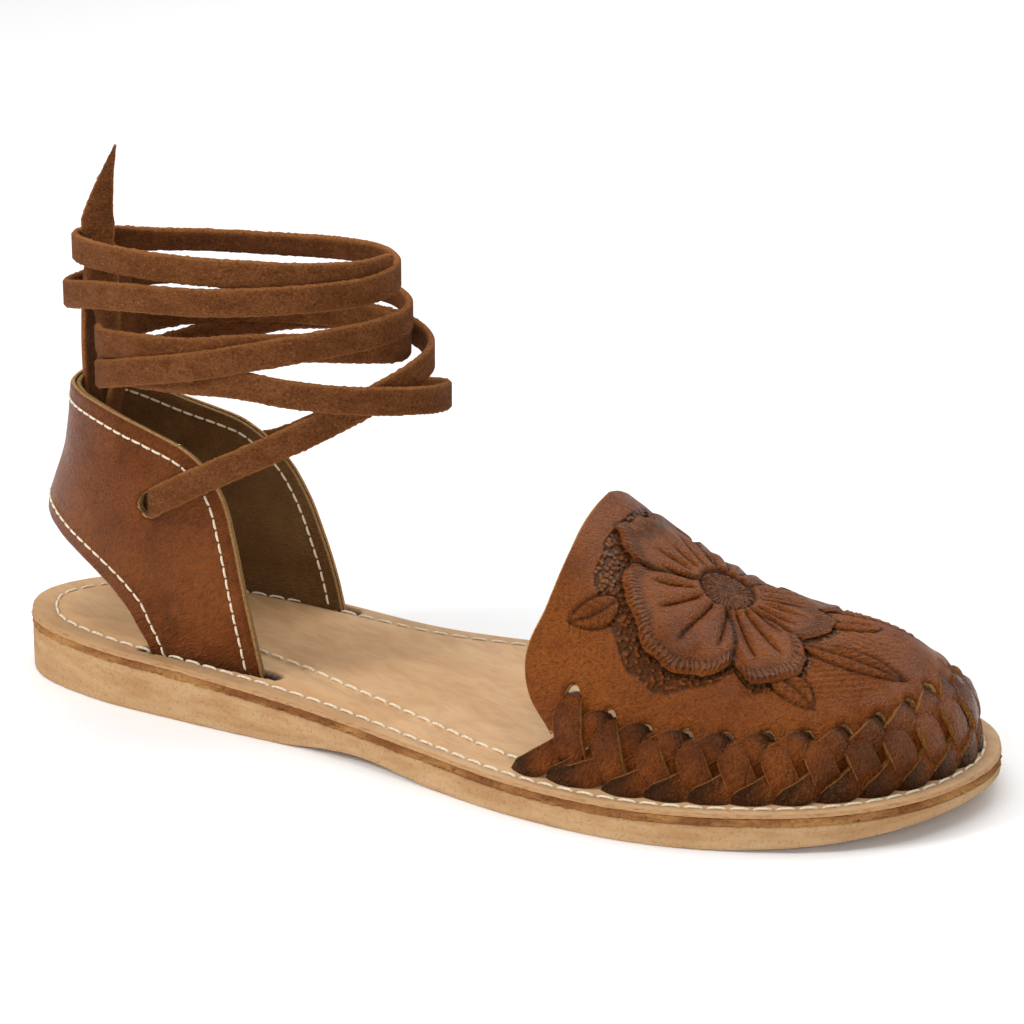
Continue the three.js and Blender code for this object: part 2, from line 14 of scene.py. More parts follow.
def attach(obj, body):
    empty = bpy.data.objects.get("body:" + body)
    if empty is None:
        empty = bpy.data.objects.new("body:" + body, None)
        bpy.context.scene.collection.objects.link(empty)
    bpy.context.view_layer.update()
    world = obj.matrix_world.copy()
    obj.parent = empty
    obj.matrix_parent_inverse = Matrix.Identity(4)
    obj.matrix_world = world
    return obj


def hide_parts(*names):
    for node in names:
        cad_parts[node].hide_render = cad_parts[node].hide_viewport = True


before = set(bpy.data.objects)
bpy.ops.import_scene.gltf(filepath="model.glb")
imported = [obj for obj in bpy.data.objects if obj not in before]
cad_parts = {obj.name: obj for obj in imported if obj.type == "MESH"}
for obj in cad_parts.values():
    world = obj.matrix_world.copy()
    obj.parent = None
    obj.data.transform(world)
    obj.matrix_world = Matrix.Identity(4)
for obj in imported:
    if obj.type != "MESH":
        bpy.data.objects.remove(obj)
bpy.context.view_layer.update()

bl_info = {
    "name": "Huarache Sandal",
    "version": (1, 0, 0),
    "blender": (4, 5, 0),
    "location": "View3D > Sidebar > Sandal",
    "description": "Builds a laced huarache sandal around its packed frame",
    "category": "Object",
}

BODY = "root"
MM = 0.001
SHIFT = (-128.2717, 4.1377, 0.0)  # from the heel's back to the middle of the footprint

# ---- the sole's plan and heights, as in the part's source -----------------------------
# Distance along the foot, lateral edge, medial edge.
SOLE_PLAN = (
    (9, -18.3, 17.8), (30, -28.2, 28.0), (60, -32.9, 30.0), (100, -37.2, 29.3),
    (130, -44.6, 34.6), (160, -52.4, 42.6), (188, -54.4, 46.2), (214, -48.8, 44.4),
    (235, -37.8, 37.2), (250, -19.8, 24.2),
)
SOLE_LENGTH = 256.4
SOLE_EDGE = (
    [(0, -0.2)]
    + [(along, lateral) for along, lateral, medial in SOLE_PLAN]
    + [(SOLE_LENGTH, 4.6)]
    + [(along, medial) for along, lateral, medial in reversed(SOLE_PLAN)]
)
STACK = ((0, 15.4), (60, 14.0), (110, 10.8), (170, 8.9), (SOLE_LENGTH, 10.5))
OUTSOLE = 2.2
LEATHER_LAYER = 1.65
INSOLE = 1.35
GAP = 0.3
TOE_SPRING = 5.0
WAIST_LIFT = 2.2
HEEL_FLAT, BALL_REAR, BALL_FRONT = 84, 140, 196

# ---- the toe form: roof along the ridge, and the throat's edge by share of the way up --
ROOF = (
    (150, 69.6), (156, 64.6), (160, 61.6), (164, 59.0), (169, 55.2), (176, 50.6), (183, 46.6),
    (194, 42.3), (205, 39.8), (215, 38.9), (225, 38.2), (236, 37.9), (243, 37.4), (250, 34.6),
)
THROAT_EDGE = (
    (0, 168), (0.1, 163.6), (0.18, 158), (0.28, 156), (0.45, 158.4), (0.65, 159.2),
    (0.85, 158.8), (1, 158.4),
)
THROAT = 158
RIDGE_REAR, RIDGE_FRONT = (158.4, 2), (224, 4.5)
BRAID_INSET = 8.4

# ---- the heel wall: height, back, half width -------------------------------------------
HEEL_WALL = (
    (8, 7.2, 24.6), (25, 6.8, 26.2), (40, 7.1, 27.0), (46, 8.4, 26.9), (52, 10.6, 26.6),
    (60, 13.3, 25.7), (78, 15.6, 22.6),
)
# Step, lower turn and height, upper turn and height on the lateral and on the medial side.
COUNTER = (
    (0, 0.0, 43.5, 0.0, 76.5, 0.0, 76.5),
    (1, 0.22, 42.8, 0.36, 76.3, 0.36, 72.6),
    (2, 0.43, 41.0, 0.7, 75.2, 0.7, 65.4),
    (3, 0.62, 37.8, 1.04, 71.3, 1.0, 60.2),
    (4, 0.76, 33.8, 1.35, 66.7, 1.2, 55.0),
    (5, 0.86, 29.4, 1.56, 58.5, 1.34, 49.2),
    (6, 0.93, 24.5, 1.665, 47, 1.46, 41.2),
    (7, 0.98, 19.2, 1.73, 33, 1.56, 32.2),
    (8, 1.02, 15.8, 1.78, 21.5, 1.655, 22.4),
    (9, 1.04, 13.1, 1.82, 12.1, 1.73, 12.2),
)
COUNTER_WALL = 2.6
LACE_HOLES = ((-1, 1.09, 53.2), (1, 0.66, 49.5))  # side, turn, height
SLOTS = ((-1, 1.0, 1.9), (1, 0.84, 1.78))  # side, from and to in turns

# ---- the lace's rings: angle from the back, height, reach along, reach to the side -----
ANKLE = (60, -2, 42, 27)  # along, across, half length, half width
FIRST_STRAND = (
    (50, 52.2, -13, -2.8), (64, 52.6, -14, -2.8), (72, 53.4, -9, -0.4), (80, 55.4, 0.6, 1.9),
    (95, 62.0, 8, 2.4), (111, 69.2, 9, 2.2), (125, 75.0, 9.5, 2.4), (138, 79.8, 9.5, 2.6),
    (153, 84.8, 10, 2.8), (168, 88.4, 10.4, 2.8), (185, 90.8, 10.2, 2.5), (205, 92.4, 8.6, 2),
    (225, 93.4, 5.4, 1.5), (250, 91.6, 2.4, 1), (275, 88.6, 0, 0.5), (300, 83.6, -3, 0),
    (330, 80.6, -6.4, -1), (360, 80.0, -7.2, -1), (390, 81.4, -6, -0.5), (412, 84.0, -2, 1.2),
    (435, 87.8, 1.5, 2.4), (458, 91.6, 3.5, 2.8), (478, 95.2, 4.5, 2.8), (500, 98.0, 5, 2.6),
    (522, 99.4, 5, 2.2), (545, 100.2, 4.4, 1.6), (575, 101.4, 3, 0), (605, 100.9, 2, -0.6),
    (635, 100.3, 1.6, -0.6), (665, 99.5, 1.8, 0), (700, 98.8, 2.6, 1), (720, 98.8, 2.6, 1.6),
    (740, 99.6, 2.6, 2), (780, 104.8, 2.4, 2.6), (822, 107.2, 2.4, 2.6), (850, 108.6, 2.6, 2.4),
    (880, 109.2, 2.0, 1.6), (905, 110.0, 1.2, 1), (935, 110.8, -0.4, 0), (965, 109.4, -0.2, 0),
    (992, 108.0, 0, 0), (1020, 107.8, 0, 0), (1050, 108.6, 0, 0), (1080, 110.6, 0, 0),
    (1110, 112.4, 0, 0), (1140, 113.6, 0, 0.4), (1170, 114.1, 0, 0.6), (1195, 114.0, 0, 0.6),
    (1215, 113.5, 0, 0.4), (1240, 112.9, 0.2, 0.2), (1262, 112.7, 0.3, 0),
)
SECOND_STRAND = (
    (318, 48.6, 2.5, 1.0), (316, 49.0, 3.0, 7.0), (311, 49.6, 1.0, 12.6), (302, 50.5, 0, 9.2),
    (291, 52.0, 0, 6.4), (277, 54.8, 2, 4.2), (262, 61.0, 8, 3.4), (250, 67.4, 11, 3.4),
    (240, 71.6, 12.5, 3.6), (222, 76.6, 13.6, 3.8), (204, 79.6, 14, 4.2), (188, 81.4, 14, 4.6),
    (172, 82.8, 14, 4.6), (155, 84.0, 13.4, 4.2), (137, 85.0, 12, 3.8), (122, 86.2, 11, 3),
    (108, 87.4, 8, 1.6), (90, 87.0, 4, 0.8), (70, 86.2, -1, 0), (45, 86.0, -4.4, -1.6),
    (20, 86.8, -6.8, -1.8), (0, 87.8, -7.4, -1.6), (-20, 88.6, -6.8, -1), (-45, 89.2, -3, -0.6),
    (-70, 90.4, 0, -0.6), (-95, 91.6, 2, -0.6), (-120, 92.8, 3, -0.4), (-150, 93.4, 3.4, 0),
    (-180, 93.6, 3.8, 0.6), (-205, 95.4, 3.6, 1), (-225, 96.6, 3.2, 1), (-247, 96.2, 2.4, 1),
    (-266, 94.2, 1, 1), (-288, 93.2, 0, 0.8), (-310, 91.6, -3, 0.4), (-328, 90.6, -6, 0),
)
LACE_END = (
    (28.6, -9.6, 88.0), (28.2, -9.6, 94.0), (27.2, -9.2, 101.0), (25.8, -8.2, 107.0),
    (24.2, -6.6, 112.5), (23.8, -5.4, 118.0), (25.6, -4.6, 126.5), (28.6, -4.2, 136.0),
)
HEEL_LOOP = (
    (20.4, 50.0), (21.4, 62.0), (24.6, 73.0), (28.0, 84.0), (27.6, 97.0), (25.0, 106.0),
    (22.0, 109.4), (19.4, 106.0), (17.9, 97.0), (17.2, 84.0), (17.4, 73.0), (17.6, 62.0),
    (17.2, 50.0),
)


def to_frame(points):
    return (np.asarray(points, float) + SHIFT) * MM


def column(rows, value=1):
    """A smooth curve through one column of a table, over its first column."""
    keys = np.array([row[0] for row in rows], float)
    values = np.array([row[value] for row in rows], float)
    last = len(rows) - 1

    def at(x):
        x = np.asarray(x, float)
        i = np.clip(np.searchsorted(keys, x, "left") - 1, 0, last - 1)
        before, after = np.maximum(i - 1, 0), np.minimum(i + 2, last)
        span = keys[i + 1] - keys[i]
        t = np.clip((x - keys[i]) / span, 0, 1)
        rise = (values[i + 1] - values[before]) / (keys[i + 1] - keys[before]) * span
        fall = (values[after] - values[i]) / (keys[after] - keys[i]) * span
        return (
            (2 * t**3 - 3 * t**2 + 1) * values[i]
            + (t**3 - 2 * t**2 + t) * rise
            + (3 * t**2 - 2 * t**3) * values[i + 1]
            + (t**3 - t**2) * fall
        )

    return at


def spline(points, t, loop=False):
    """Points of a centripetal curve through points, at t from 0 to 1."""
    points = np.asarray(points, float)
    count = len(points)
    place = np.asarray(t, float) * (count if loop else count - 1)
    i = np.floor(place).astype(int)
    if loop:
        a, b, c, d = (points[(i + k - 1) % count] for k in range(4))
    else:
        i = np.clip(i, 0, count - 2)
        ends = 2 * points[0] - points[1], 2 * points[-1] - points[-2]
        longer = np.vstack((ends[0], points, ends[1]))
        a, b, c, d = (longer[i + k] for k in range(4))
    w = (place - i)[:, None]
    gap = [
        np.maximum(((q - p) ** 2).sum(1) ** 0.25, 1e-4)[:, None]
        for p, q in ((a, b), (b, c), (c, d))
    ]
    out = ((b - a) / gap[0] - (c - a) / (gap[0] + gap[1]) + (c - b) / gap[1]) * gap[1]
    into = ((c - b) / gap[1] - (d - b) / (gap[1] + gap[2]) + (d - c) / gap[2]) * gap[1]
    square = (3 * (c - b) - 2 * out - into) * w**2
    return b + out * w + square + (2 * (b - c) + out + into) * w**3


def unit(vectors):
    length = np.linalg.norm(vectors, axis=-1, keepdims=True)
    return vectors / np.maximum(length, 1e-9)


def lengths(points):
    """Distance along a line of points."""
    steps = np.linalg.norm(np.diff(points, axis=0), axis=1)
    return np.concatenate(([0.0], np.cumsum(steps)))


def even(points, spacing):
    """The line of points again, at an even spacing."""
    points = np.asarray(points, float)
    along = lengths(points)
    count = max(int(round(along[-1] / spacing)), 2)
    at = np.linspace(0, along[-1], count + 1)
    return np.stack([np.interp(at, along, points[:, k]) for k in range(3)], 1)


def bump(x, centre, width):
    return np.exp(-(((x - centre) / width) ** 2))


def ramp(x, low, high):
    t = np.clip((x - low) / (high - low), 0, 1)
    return t * t * (3 - 2 * t)


def rough(points, size, seed=0.0, detail=2):
    """Noise from about -1 to 1 with lumps of this size at each point."""
    out = np.empty(len(points))
    for i, p in enumerate(np.asarray(points, float) / size + seed):
        out[i] = noise.fractal(Vector(p), 1.0, 2.0, detail)
    return out


sole_top = column(STACK)
roof = column(ROOF)
throat = column(THROAT_EDGE)
wall_back = column(HEEL_WALL, 1)
wall_half = column(HEEL_WALL, 2)


def ground(x):
    toe = np.maximum((x - BALL_FRONT) / (SOLE_LENGTH - BALL_FRONT), 0)
    arch = np.clip((x - HEEL_FLAT) / (BALL_REAR - HEEL_FLAT), 0, 1)
    return TOE_SPRING * toe**2 + WAIST_LIFT * np.sin(math.pi * arch) ** 2


def edge_point(side, inset=0.0):
    """The sole's edge moved inwards. Side is 0 to 1 on the lateral side and on to 2."""
    t = (np.asarray(side, float) / 2) % 1
    step = 1e-4
    way = unit(spline(SOLE_EDGE, (t + step) % 1, True) - spline(SOLE_EDGE, (t - step) % 1, True))
    inwards = np.stack((-way[:, 1], way[:, 0]), 1)
    return spline(SOLE_EDGE, t, True) + inwards * np.reshape(inset, (-1, 1))


def side_at(along):
    """The side where the braid's line is this far along the foot, on the lateral side."""
    low, high = 0.3, 0.9
    for _ in range(40):
        middle = (low + high) / 2
        short = edge_point([middle], BRAID_INSET)[0, 0] < along
        low, high = (middle, high) if short else (low, middle)
    return (low + high) / 2


FORM_START = side_at(THROAT)
FORM_END = 2 - FORM_START


def form_base(turn):
    """The form's foot line and its ridge at each turn."""
    base = edge_point(FORM_START + (FORM_END - FORM_START) * turn, BRAID_INSET)
    to_toe = (1 - (2 * turn - 1) ** 2)[:, None]
    ridge = np.array(RIDGE_REAR) + (np.array(RIDGE_FRONT) - RIDGE_REAR) * to_toe
    return base, ridge


def form_point(turn, up):
    """The toe form. Turn is 0 to 1 from the lateral rear about the toe to the medial rear,
    and up is 0 to 1 from the insole to the ridge."""
    turn, up = np.broadcast_arrays(np.asarray(turn, float), np.asarray(up, float))
    flat, rise = turn.ravel(), up.ravel()
    base, ridge = form_base(flat)
    angle = rise * math.pi / 2
    inwards = (1 - np.maximum(np.cos(angle), 0) ** 0.95)[:, None]
    from_throat = np.maximum(1 - (1 - np.abs(2 * flat - 1)) / 0.3, 0)
    plain = base + (ridge - base) * inwards
    rear = THROAT + (RIDGE_REAR[0] - THROAT) * inwards[:, 0]
    x = plain[:, 0] + (throat(rise) - rear) * from_throat**2
    foot = sole_top(x) + GAP
    z = foot + (roof(x) - foot) * np.maximum(np.sin(angle), 0) ** 0.9
    return np.stack((x, plain[:, 1], z), 1).reshape(*turn.shape, 3)


def band_top(turn, height):
    """Share of the way up the form at this height above the insole."""
    low, high = np.zeros(turn.shape), np.full(turn.shape, 0.9)
    for _ in range(24):
        middle = (low + high) / 2
        p = form_point(turn, middle)
        under = p[..., 2] - sole_top(p[..., 0]) < height
        low, high = np.where(under, middle, low), np.where(under, high, middle)
    return low


def band_point(turn, height):
    """The lower band of the form, which the braid lies on, at this height above the insole."""
    turn, height = np.broadcast_arrays(np.asarray(turn, float), np.asarray(height, float))
    flat, above = turn.ravel(), height.ravel()
    base, ridge = form_base(flat)
    foot = sole_top(base[:, 0]) + GAP
    share = np.clip(above / (roof(np.maximum(base[:, 0], 157)) - foot), 0, 0.9)
    inwards = 1 - np.sqrt(1 - share ** (2 / 0.9)) ** 0.95
    p = base + (ridge - base) * inwards[:, None]
    z = sole_top(p[:, 0]) + GAP + above
    return np.stack((p[:, 0], p[:, 1], z), 1).reshape(*turn.shape, 3)


def heel_point(turn, height, side):
    """The heel wall. Turn is 0 at the back, 1 where the wall gets straight, then 1 per 40 mm."""
    angle = np.minimum(turn, 1) * math.pi / 2
    x = 46 - (46 - wall_back(height)) * np.cos(angle) + np.maximum(turn - 1, 0) * 40
    return np.stack((x, side * wall_half(height) * np.sin(angle), height), -1)


def ring_points(rows):
    angle, height, reach, side = np.array(rows, float).T
    turn = np.radians(angle)
    along, across, length, width = ANKLE
    x = along - np.cos(turn) * (length + reach)
    y = across - np.sin(turn) * (width + side)
    return np.stack((x, y, height), 1)


# ---- making meshes ---------------------------------------------------------------------
VALUES = ("edge", "dark", "matted", "worked")  # shares, from 0 to 1, that the materials read


def signed_volume(points, faces):
    total = 0.0
    for f in faces:
        for k in range(1, f.shape[1] - 1):
            a, b, c = points[f[:, 0]], points[f[:, k]], points[f[:, k + 1]]
            total += (a * np.cross(b, c)).sum()
    return total


class Shell:
    """The vertices and faces of one piece, in millimetres."""

    def __init__(self):
        self.points, self.faces, self.values, self.flat = [], [], [], []
        self.count = 0

    def add(self, points, faces, flat=None, **values):
        points = np.asarray(points, float).reshape(-1, 3)
        self.points.append(points)
        self.faces += [np.asarray(f, int).reshape(-1, f.shape[-1]) + self.count for f in faces]
        row = [np.broadcast_to(values.get(name, 0.0), len(points)) for name in VALUES]
        self.values.append(np.stack(row, 1))
        self.flat.append(np.zeros((len(points), 2)) if flat is None else flat)
        self.count += len(points)

    def loft(self, rings, folded=False, **values):
        """A closed skin through rings of points. Each end is a fan of triangles, or, where its
        ring is folded flat on a middle line, a strip from one half of the ring to the other."""
        n, m = rings.shape[:2]
        index = np.arange(n * m).reshape(n, m)
        after = np.roll(index, -1, axis=1)
        faces = [np.stack((index[:-1], after[:-1], after[1:], index[1:]), -1).reshape(-1, 4)]
        points = rings.reshape(-1, 3)
        values = {k: np.ravel(np.broadcast_to(v, (n, m))) for k, v in values.items()}
        if folded:
            near, far = np.arange(m // 2), m - np.arange(m // 2)
            strip = np.vstack(
                (
                    np.stack((near, near + 1, far - 1), -1)[:-1],
                    np.stack((near, far - 1, far), -1)[1:],
                )
            )
            faces += [strip[:, ::-1], strip + (n - 1) * m]
        else:
            points = np.vstack((points, rings[0].mean(0), rings[-1].mean(0)))
            first, last = np.full(m, n * m), np.full(m, n * m + 1)
            faces.append(np.stack((first, after[0], index[0]), -1))
            faces.append(np.stack((last, index[-1], after[-1]), -1))
            tips = {k: (v[0], v[-1]) for k, v in values.items()}
            values = {k: np.concatenate((v, tips[k])) for k, v in values.items()}
        if signed_volume(points, faces) < 0:
            faces = [f[:, ::-1] for f in faces]
        self.add(points, faces, **values)

    def wall(self, points, quads, normals, outer, inner, rim=0.25, flat=None, **values):
        """A wall about an open sheet of quads, with its rim rounded and marked as a cut edge."""
        count = len(points)
        starts, ends = quads.ravel(), np.roll(quads, -1, axis=1).ravel()
        free = ~np.isin(starts * count + ends, ends * count + starts)
        starts, ends = starts[free], ends[free]
        edge = np.zeros(count)
        edge[starts] = 1
        outside = points + normals * (outer - rim * edge)[:, None]
        inside = points + normals * (inner + rim * edge)[:, None]
        sides = np.stack((starts, starts + count, ends + count, ends), 1)
        faces = [quads, quads[:, ::-1] + count, sides]
        values = {k: np.concatenate((v, v * 0)) for k, v in values.items()}
        cut = np.concatenate((edge, edge))
        flat = None if flat is None else np.vstack((flat, flat))
        self.add(np.vstack((outside, inside)), faces, flat, edge=cut, **values)

    def piece(self, name, material, slot, sharp=40):
        """Makes the mesh, and lets the piece ride on the body."""
        points = to_frame(np.vstack(self.points))
        used = np.zeros(len(points), bool)
        for f in self.faces:
            used[f.ravel()] = True
        place = np.cumsum(used) - 1
        faces = [place[f] for f in self.faces]
        values, flat = np.vstack(self.values)[used], np.vstack(self.flat)[used]
        corners = np.concatenate([f.ravel() for f in faces]).astype(np.int32)
        sizes = np.concatenate([np.full(len(f), f.shape[1]) for f in faces])
        starts = np.concatenate(([0], np.cumsum(sizes)[:-1])).astype(np.int32)
        mesh = bpy.data.meshes.new(name)
        mesh.vertices.add(int(used.sum()))
        mesh.vertices.foreach_set("co", points[used].astype(np.float32).ravel())
        mesh.loops.add(len(corners))
        mesh.loops.foreach_set("vertex_index", corners)
        mesh.polygons.add(len(sizes))
        mesh.polygons.foreach_set("loop_start", starts)
        mesh.update(calc_edges=True)
        if mesh.validate():
            raise RuntimeError(name + " has faulty faces")
        for k, value in enumerate(VALUES):
            layer = mesh.attributes.new(value, "FLOAT", "POINT")
            layer.data.foreach_set("value", values[:, k].astype(np.float32))
        chart = mesh.uv_layers.new(name="chart")
        chart.data.foreach_set("uv", (flat[corners] * MM).astype(np.float32).ravel())
        mesh.polygons.foreach_set("use_smooth", np.ones(len(sizes), bool))
        mesh.set_sharp_from_angle(angle=math.radians(sharp))
        made = bpy.data.objects.new(name, mesh)
        bpy.context.collection.objects.link(made)
        made.data.materials.append(material)
        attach(made, BODY)
        return made


def grid_quads(rows, columns, weld=None):
    """Quads of a grid of points; weld gives the point that stands for each one."""
    index = np.arange(rows * columns).reshape(rows, columns)
    index = index if weld is None else weld[index]
    quads = (index[:-1, :-1], index[1:, :-1], index[1:, 1:], index[:-1, 1:])
    return np.stack(quads, -1).reshape(-1, 4)


def sheet_normals(points, quads, centre):
    """Normals of a sheet, turned away from centre, with its quads turned the same way."""
    a, b, c, d = (points[quads[:, k]] for k in range(4))
    face = np.cross(c - a, d - b)
    normals = np.zeros_like(points)
    for k in range(4):
        np.add.at(normals, quads[:, k], face)
    normals = unit(normals)
    if (normals * (points - centre)).sum() < 0:
        return -normals, quads[:, ::-1]
    return normals, quads


def punched(points, quads, normals, holes):
    """Cuts oval holes in a sheet: each is its centre and two half axes."""
    points = points.copy()
    gone = np.zeros(len(points), bool)
    nearness = np.full(len(points), 9.0)
    for centre, wide, tall in holes:
        away = points - centre
        depth = (away * normals).sum(1)
        u = away @ wide / (wide @ wide)
        v = away @ tall / (tall @ tall)
        radius = np.hypot(u, v)
        near = (np.abs(depth) < 3) & (np.linalg.norm(away, axis=1) < 9)
        nearness = np.where(near, np.minimum(nearness, radius), nearness)
        push = near & (radius > 0.55) & (radius <= 1)
        stretch = (1 / np.maximum(radius, 1e-6) - 1)[:, None]
        points += np.where(push[:, None], (u[:, None] * wide + v[:, None] * tall) * stretch, 0)
        gone |= near & (radius <= 1)
    keep = ~gone[quads].all(1)
    return points, quads[keep], nearness


def strap_rings(
    line, facing, width, thickness, taper=None, crown=0.0, fuzz=0.0, seed=0.0, corner=0.3
):
    """Rings of a flat strap with rounded edges along a line, and how near each point is to
    a cut edge. Crown lifts the middle of the outer face, and fuzz makes the edges uneven."""
    way = unit(np.gradient(line, axis=0))
    across = unit(np.cross(facing, way))
    out = unit(np.cross(way, across))
    w, t, r = width / 2, thickness / 2, thickness * corner
    level = ((-w + r, t), (-w * 0.55, t), (0, t), (w * 0.55, t), (w - r, t))
    half = ((-w, t - r), *level, (w, t - r))
    section = np.array(half + tuple((-u, -v) for u, v in half))
    u, v = section.T
    v = v + crown * np.where(v > 0, 1 - (u / w) ** 2, 0) - crown * 0.5 * (np.abs(u) / w) ** 2
    edge = ramp(np.abs(u), w - 1.3 * r, w - 0.2 * r)
    scale = np.ones(len(line)) if taper is None else taper
    rings = (
        line[:, None]
        + across[:, None] * (u[None, :, None] * scale[:, None, None])
        + out[:, None] * v[None, :, None]
    )
    if fuzz:
        flat = rings.reshape(-1, 3)
        shake = rough(flat, 0.9, seed).reshape(rings.shape[:2]) * edge
        rings = rings + across[:, None] * (np.sign(u) * shake * fuzz)[..., None]
    return rings, np.broadcast_to(edge, rings.shape[:2])


def stitches(shell, line, normals, pitch, gauge, share=0.78, sink=0.55):
    """A row of stitches on a line: each rises out of one hole and dives into the next."""
    along = lengths(line)
    count = max(int(round(along[-1] / pitch)), 1)
    holes = np.linspace(0, along[-1], count + 1)
    turn = np.arange(8) * math.pi / 4
    for k in range(count):
        span = holes[k + 1] - holes[k]
        t = np.linspace(0, 1, 9)
        at = holes[k] + span * (0.5 + (t - 0.5) * (share + 0.16))
        p = np.stack([np.interp(at, along, line[:, i]) for i in range(3)], 1)
        n = unit(np.stack([np.interp(at, along, normals[:, i]) for i in range(3)], 1))
        lift = gauge * (0.42 - sink * 2.6 * np.abs(2 * t - 1) ** 5)
        p = p + n * lift[:, None]
        way = unit(np.gradient(p, axis=0))
        side = unit(np.cross(n, way))
        up = np.cross(way, side)
        radius = gauge / 2 * (1 + 0.07 * np.sin(t * 26 + k))
        cosine, sine = np.cos(turn)[None, :, None], np.sin(turn)[None, :, None]
        spin = side[:, None] * cosine + up[:, None] * sine
        # Painted shade at each end, where the thread dives into its hole.
        sunk = np.broadcast_to(ramp(np.abs(2 * t - 1), 0.72, 0.9)[:, None], (9, 8))
        shell.loft(p[:, None] + spin * radius[:, None, None], dark=sunk)


# ---- materials -------------------------------------------------------------------------
def linear(code):
    """An sRGB hex colour as linear RGBA."""
    parts = [int(code[i : i + 2], 16) / 255 for i in (1, 3, 5)]
    return [c / 12.92 if c <= 0.04045 else ((c + 0.055) / 1.055) ** 2.4 for c in parts] + [1]


def node(tree, kind, links=None, **settings):
    """Adds a node, with its settings and with what goes into its sockets."""
    made = tree.nodes.new("ShaderNode" + kind)
    for name, value in settings.items():
        setattr(made, name, value)
    for socket, value in (links or {}).items():
        if isinstance(value, bpy.types.NodeSocket):
            tree.links.new(value, made.inputs[socket])
        else:
            made.inputs[socket].default_value = value
    return made


def start_material(name):
    material = bpy.data.materials.new(name)
    material.use_nodes = True
    tree = material.node_tree
    tree.nodes.clear()
    return material, tree


def finish_material(tree, colour, roughness, height, depth, **constant):
    """The shader: a colour, a roughness, and a relief of this depth in millimetres."""
    bumped = node(tree, "Bump", {"Height": height, "Distance": depth * MM, "Strength": 1.0})
    shader = node(
        tree,
        "BsdfPrincipled",
        {"Base Color": colour, "Roughness": roughness, "Normal": bumped.outputs[0], **constant},
    )
    node(tree, "OutputMaterial", {"Surface": shader.outputs[0]})


def place(tree, turn=0.0, size=(1, 1, 1), tilt=0.0):
    """Places in the row's frame, turned about Z and stretched to this size in millimetres."""
    where = node(tree, "TexCoord").outputs["Object"]
    spun = node(tree, "VectorRotate", {"Vector": where, "Angle": turn}, rotation_type="Z_AXIS")
    tilted = {"Vector": spun.outputs[0], "Angle": tilt}
    lean = node(tree, "VectorRotate", tilted, rotation_type="Y_AXIS")
    scale = [1 / (MM * s) for s in size]
    return node(tree, "Mapping", {"Vector": lean.outputs[0], "Scale": scale}).outputs[0]


def grains(tree, where, detail=2.0, rough_share=0.5, twist=0.0):
    links = {"Vector": where, "Scale": 1.0, "Detail": detail}
    links |= {"Roughness": rough_share, "Distortion": twist}
    return node(tree, "TexNoise", links).outputs["Fac"]


def curve(tree, value, low, high, start=0.0, end=1.0):
    links = {"Value": value, "From Min": low, "From Max": high, "To Min": start, "To Max": end}
    return node(tree, "MapRange", links, interpolation_type="SMOOTHSTEP").outputs[0]


def maths(tree, operation, a, b=0.0, c=0.0):
    return node(tree, "Math", {0: a, 1: b, 2: c}, operation=operation).outputs[0]


def mixed(tree, share, a, b, blend="MIX"):
    made = node(tree, "Mix", {0: share, 6: a, 7: b}, data_type="RGBA", blend_type=blend)
    return made.outputs[2]


def value_of(tree, name):
    return node(tree, "Attribute", attribute_name=name).outputs["Fac"]


def leather(name, base, light, deep, raw, shine, grain, lean, crease=0.5, tooled=False):
    """Vegetable tanned cowhide, dyed and waxed: uneven dye, short grain lines, and a pale
    fibrous cut edge."""
    material, tree = start_material(name)
    patches = grains(tree, place(tree, size=(14, 14, 14)), 3.0, 0.55)
    streaks = grains(tree, place(tree, 0.35, (3.2, 0.6, 0.6), lean), 3.0, 0.6, 0.5)
    pores = grains(tree, place(tree, size=(0.55, 0.55, 0.55)), 3.0, 0.6)
    wrinkles = grains(tree, place(tree, 0.8, (5, 1.6, 1.8), lean), 3.0, 0.55, 0.8)
    dark, edge = value_of(tree, "dark"), value_of(tree, "edge")
    tone = mixed(tree, curve(tree, patches, 0.32, 0.7), linear(base), linear(light))
    tone = mixed(tree, curve(tree, streaks, 0.5, 0.34, 0, grain * 0.6), tone, linear(deep))
    tone = mixed(tree, curve(tree, streaks, 0.58, 0.74, 0, grain * 0.25), tone, linear(raw))
    tone = mixed(tree, curve(tree, pores, 0.5, 0.32, 0, 0.34), tone, linear(deep))
    tone = mixed(tree, curve(tree, patches, 0.44, 0.26, 0, 0.3), tone, linear(deep))
    # The dark attribute mixes in the deep colour: dye in the tooled cuts, and painted shade in
    # holes, where straps pass under others and near the insole.
    tone = mixed(tree, curve(tree, dark, 0.04, 0.95), tone, linear(deep))
    height = maths(tree, "MULTIPLY", streaks, 0.8)
    height = maths(tree, "MULTIPLY_ADD", pores, 0.55, height)
    height = maths(tree, "MULTIPLY_ADD", wrinkles, crease, height)
    if tooled:
        tone, height = tooling_marks(tree, tone, height, linear(deep))
    fibres = grains(tree, place(tree, size=(0.5, 0.5, 0.3)), 3.0, 0.7)
    frayed = mixed(tree, curve(tree, fibres, 0.28, 0.48), linear(deep), linear(raw))
    tone = mixed(tree, curve(tree, edge, 0.35, 0.8), tone, frayed)
    dull = curve(tree, edge, 0.2, 0.9, 0, 0.35)
    polish = curve(tree, streaks, 0.35, 0.7, shine - 0.07, shine + 0.1)
    roughness = maths(tree, "ADD", polish, dull)
    waxed = {"Specular IOR Level": 0.55, "Specular Tint": linear("#e8b078"), "IOR": 1.5}
    finish_material(tree, tone, roughness, height, 1.6, **waxed)
    return material


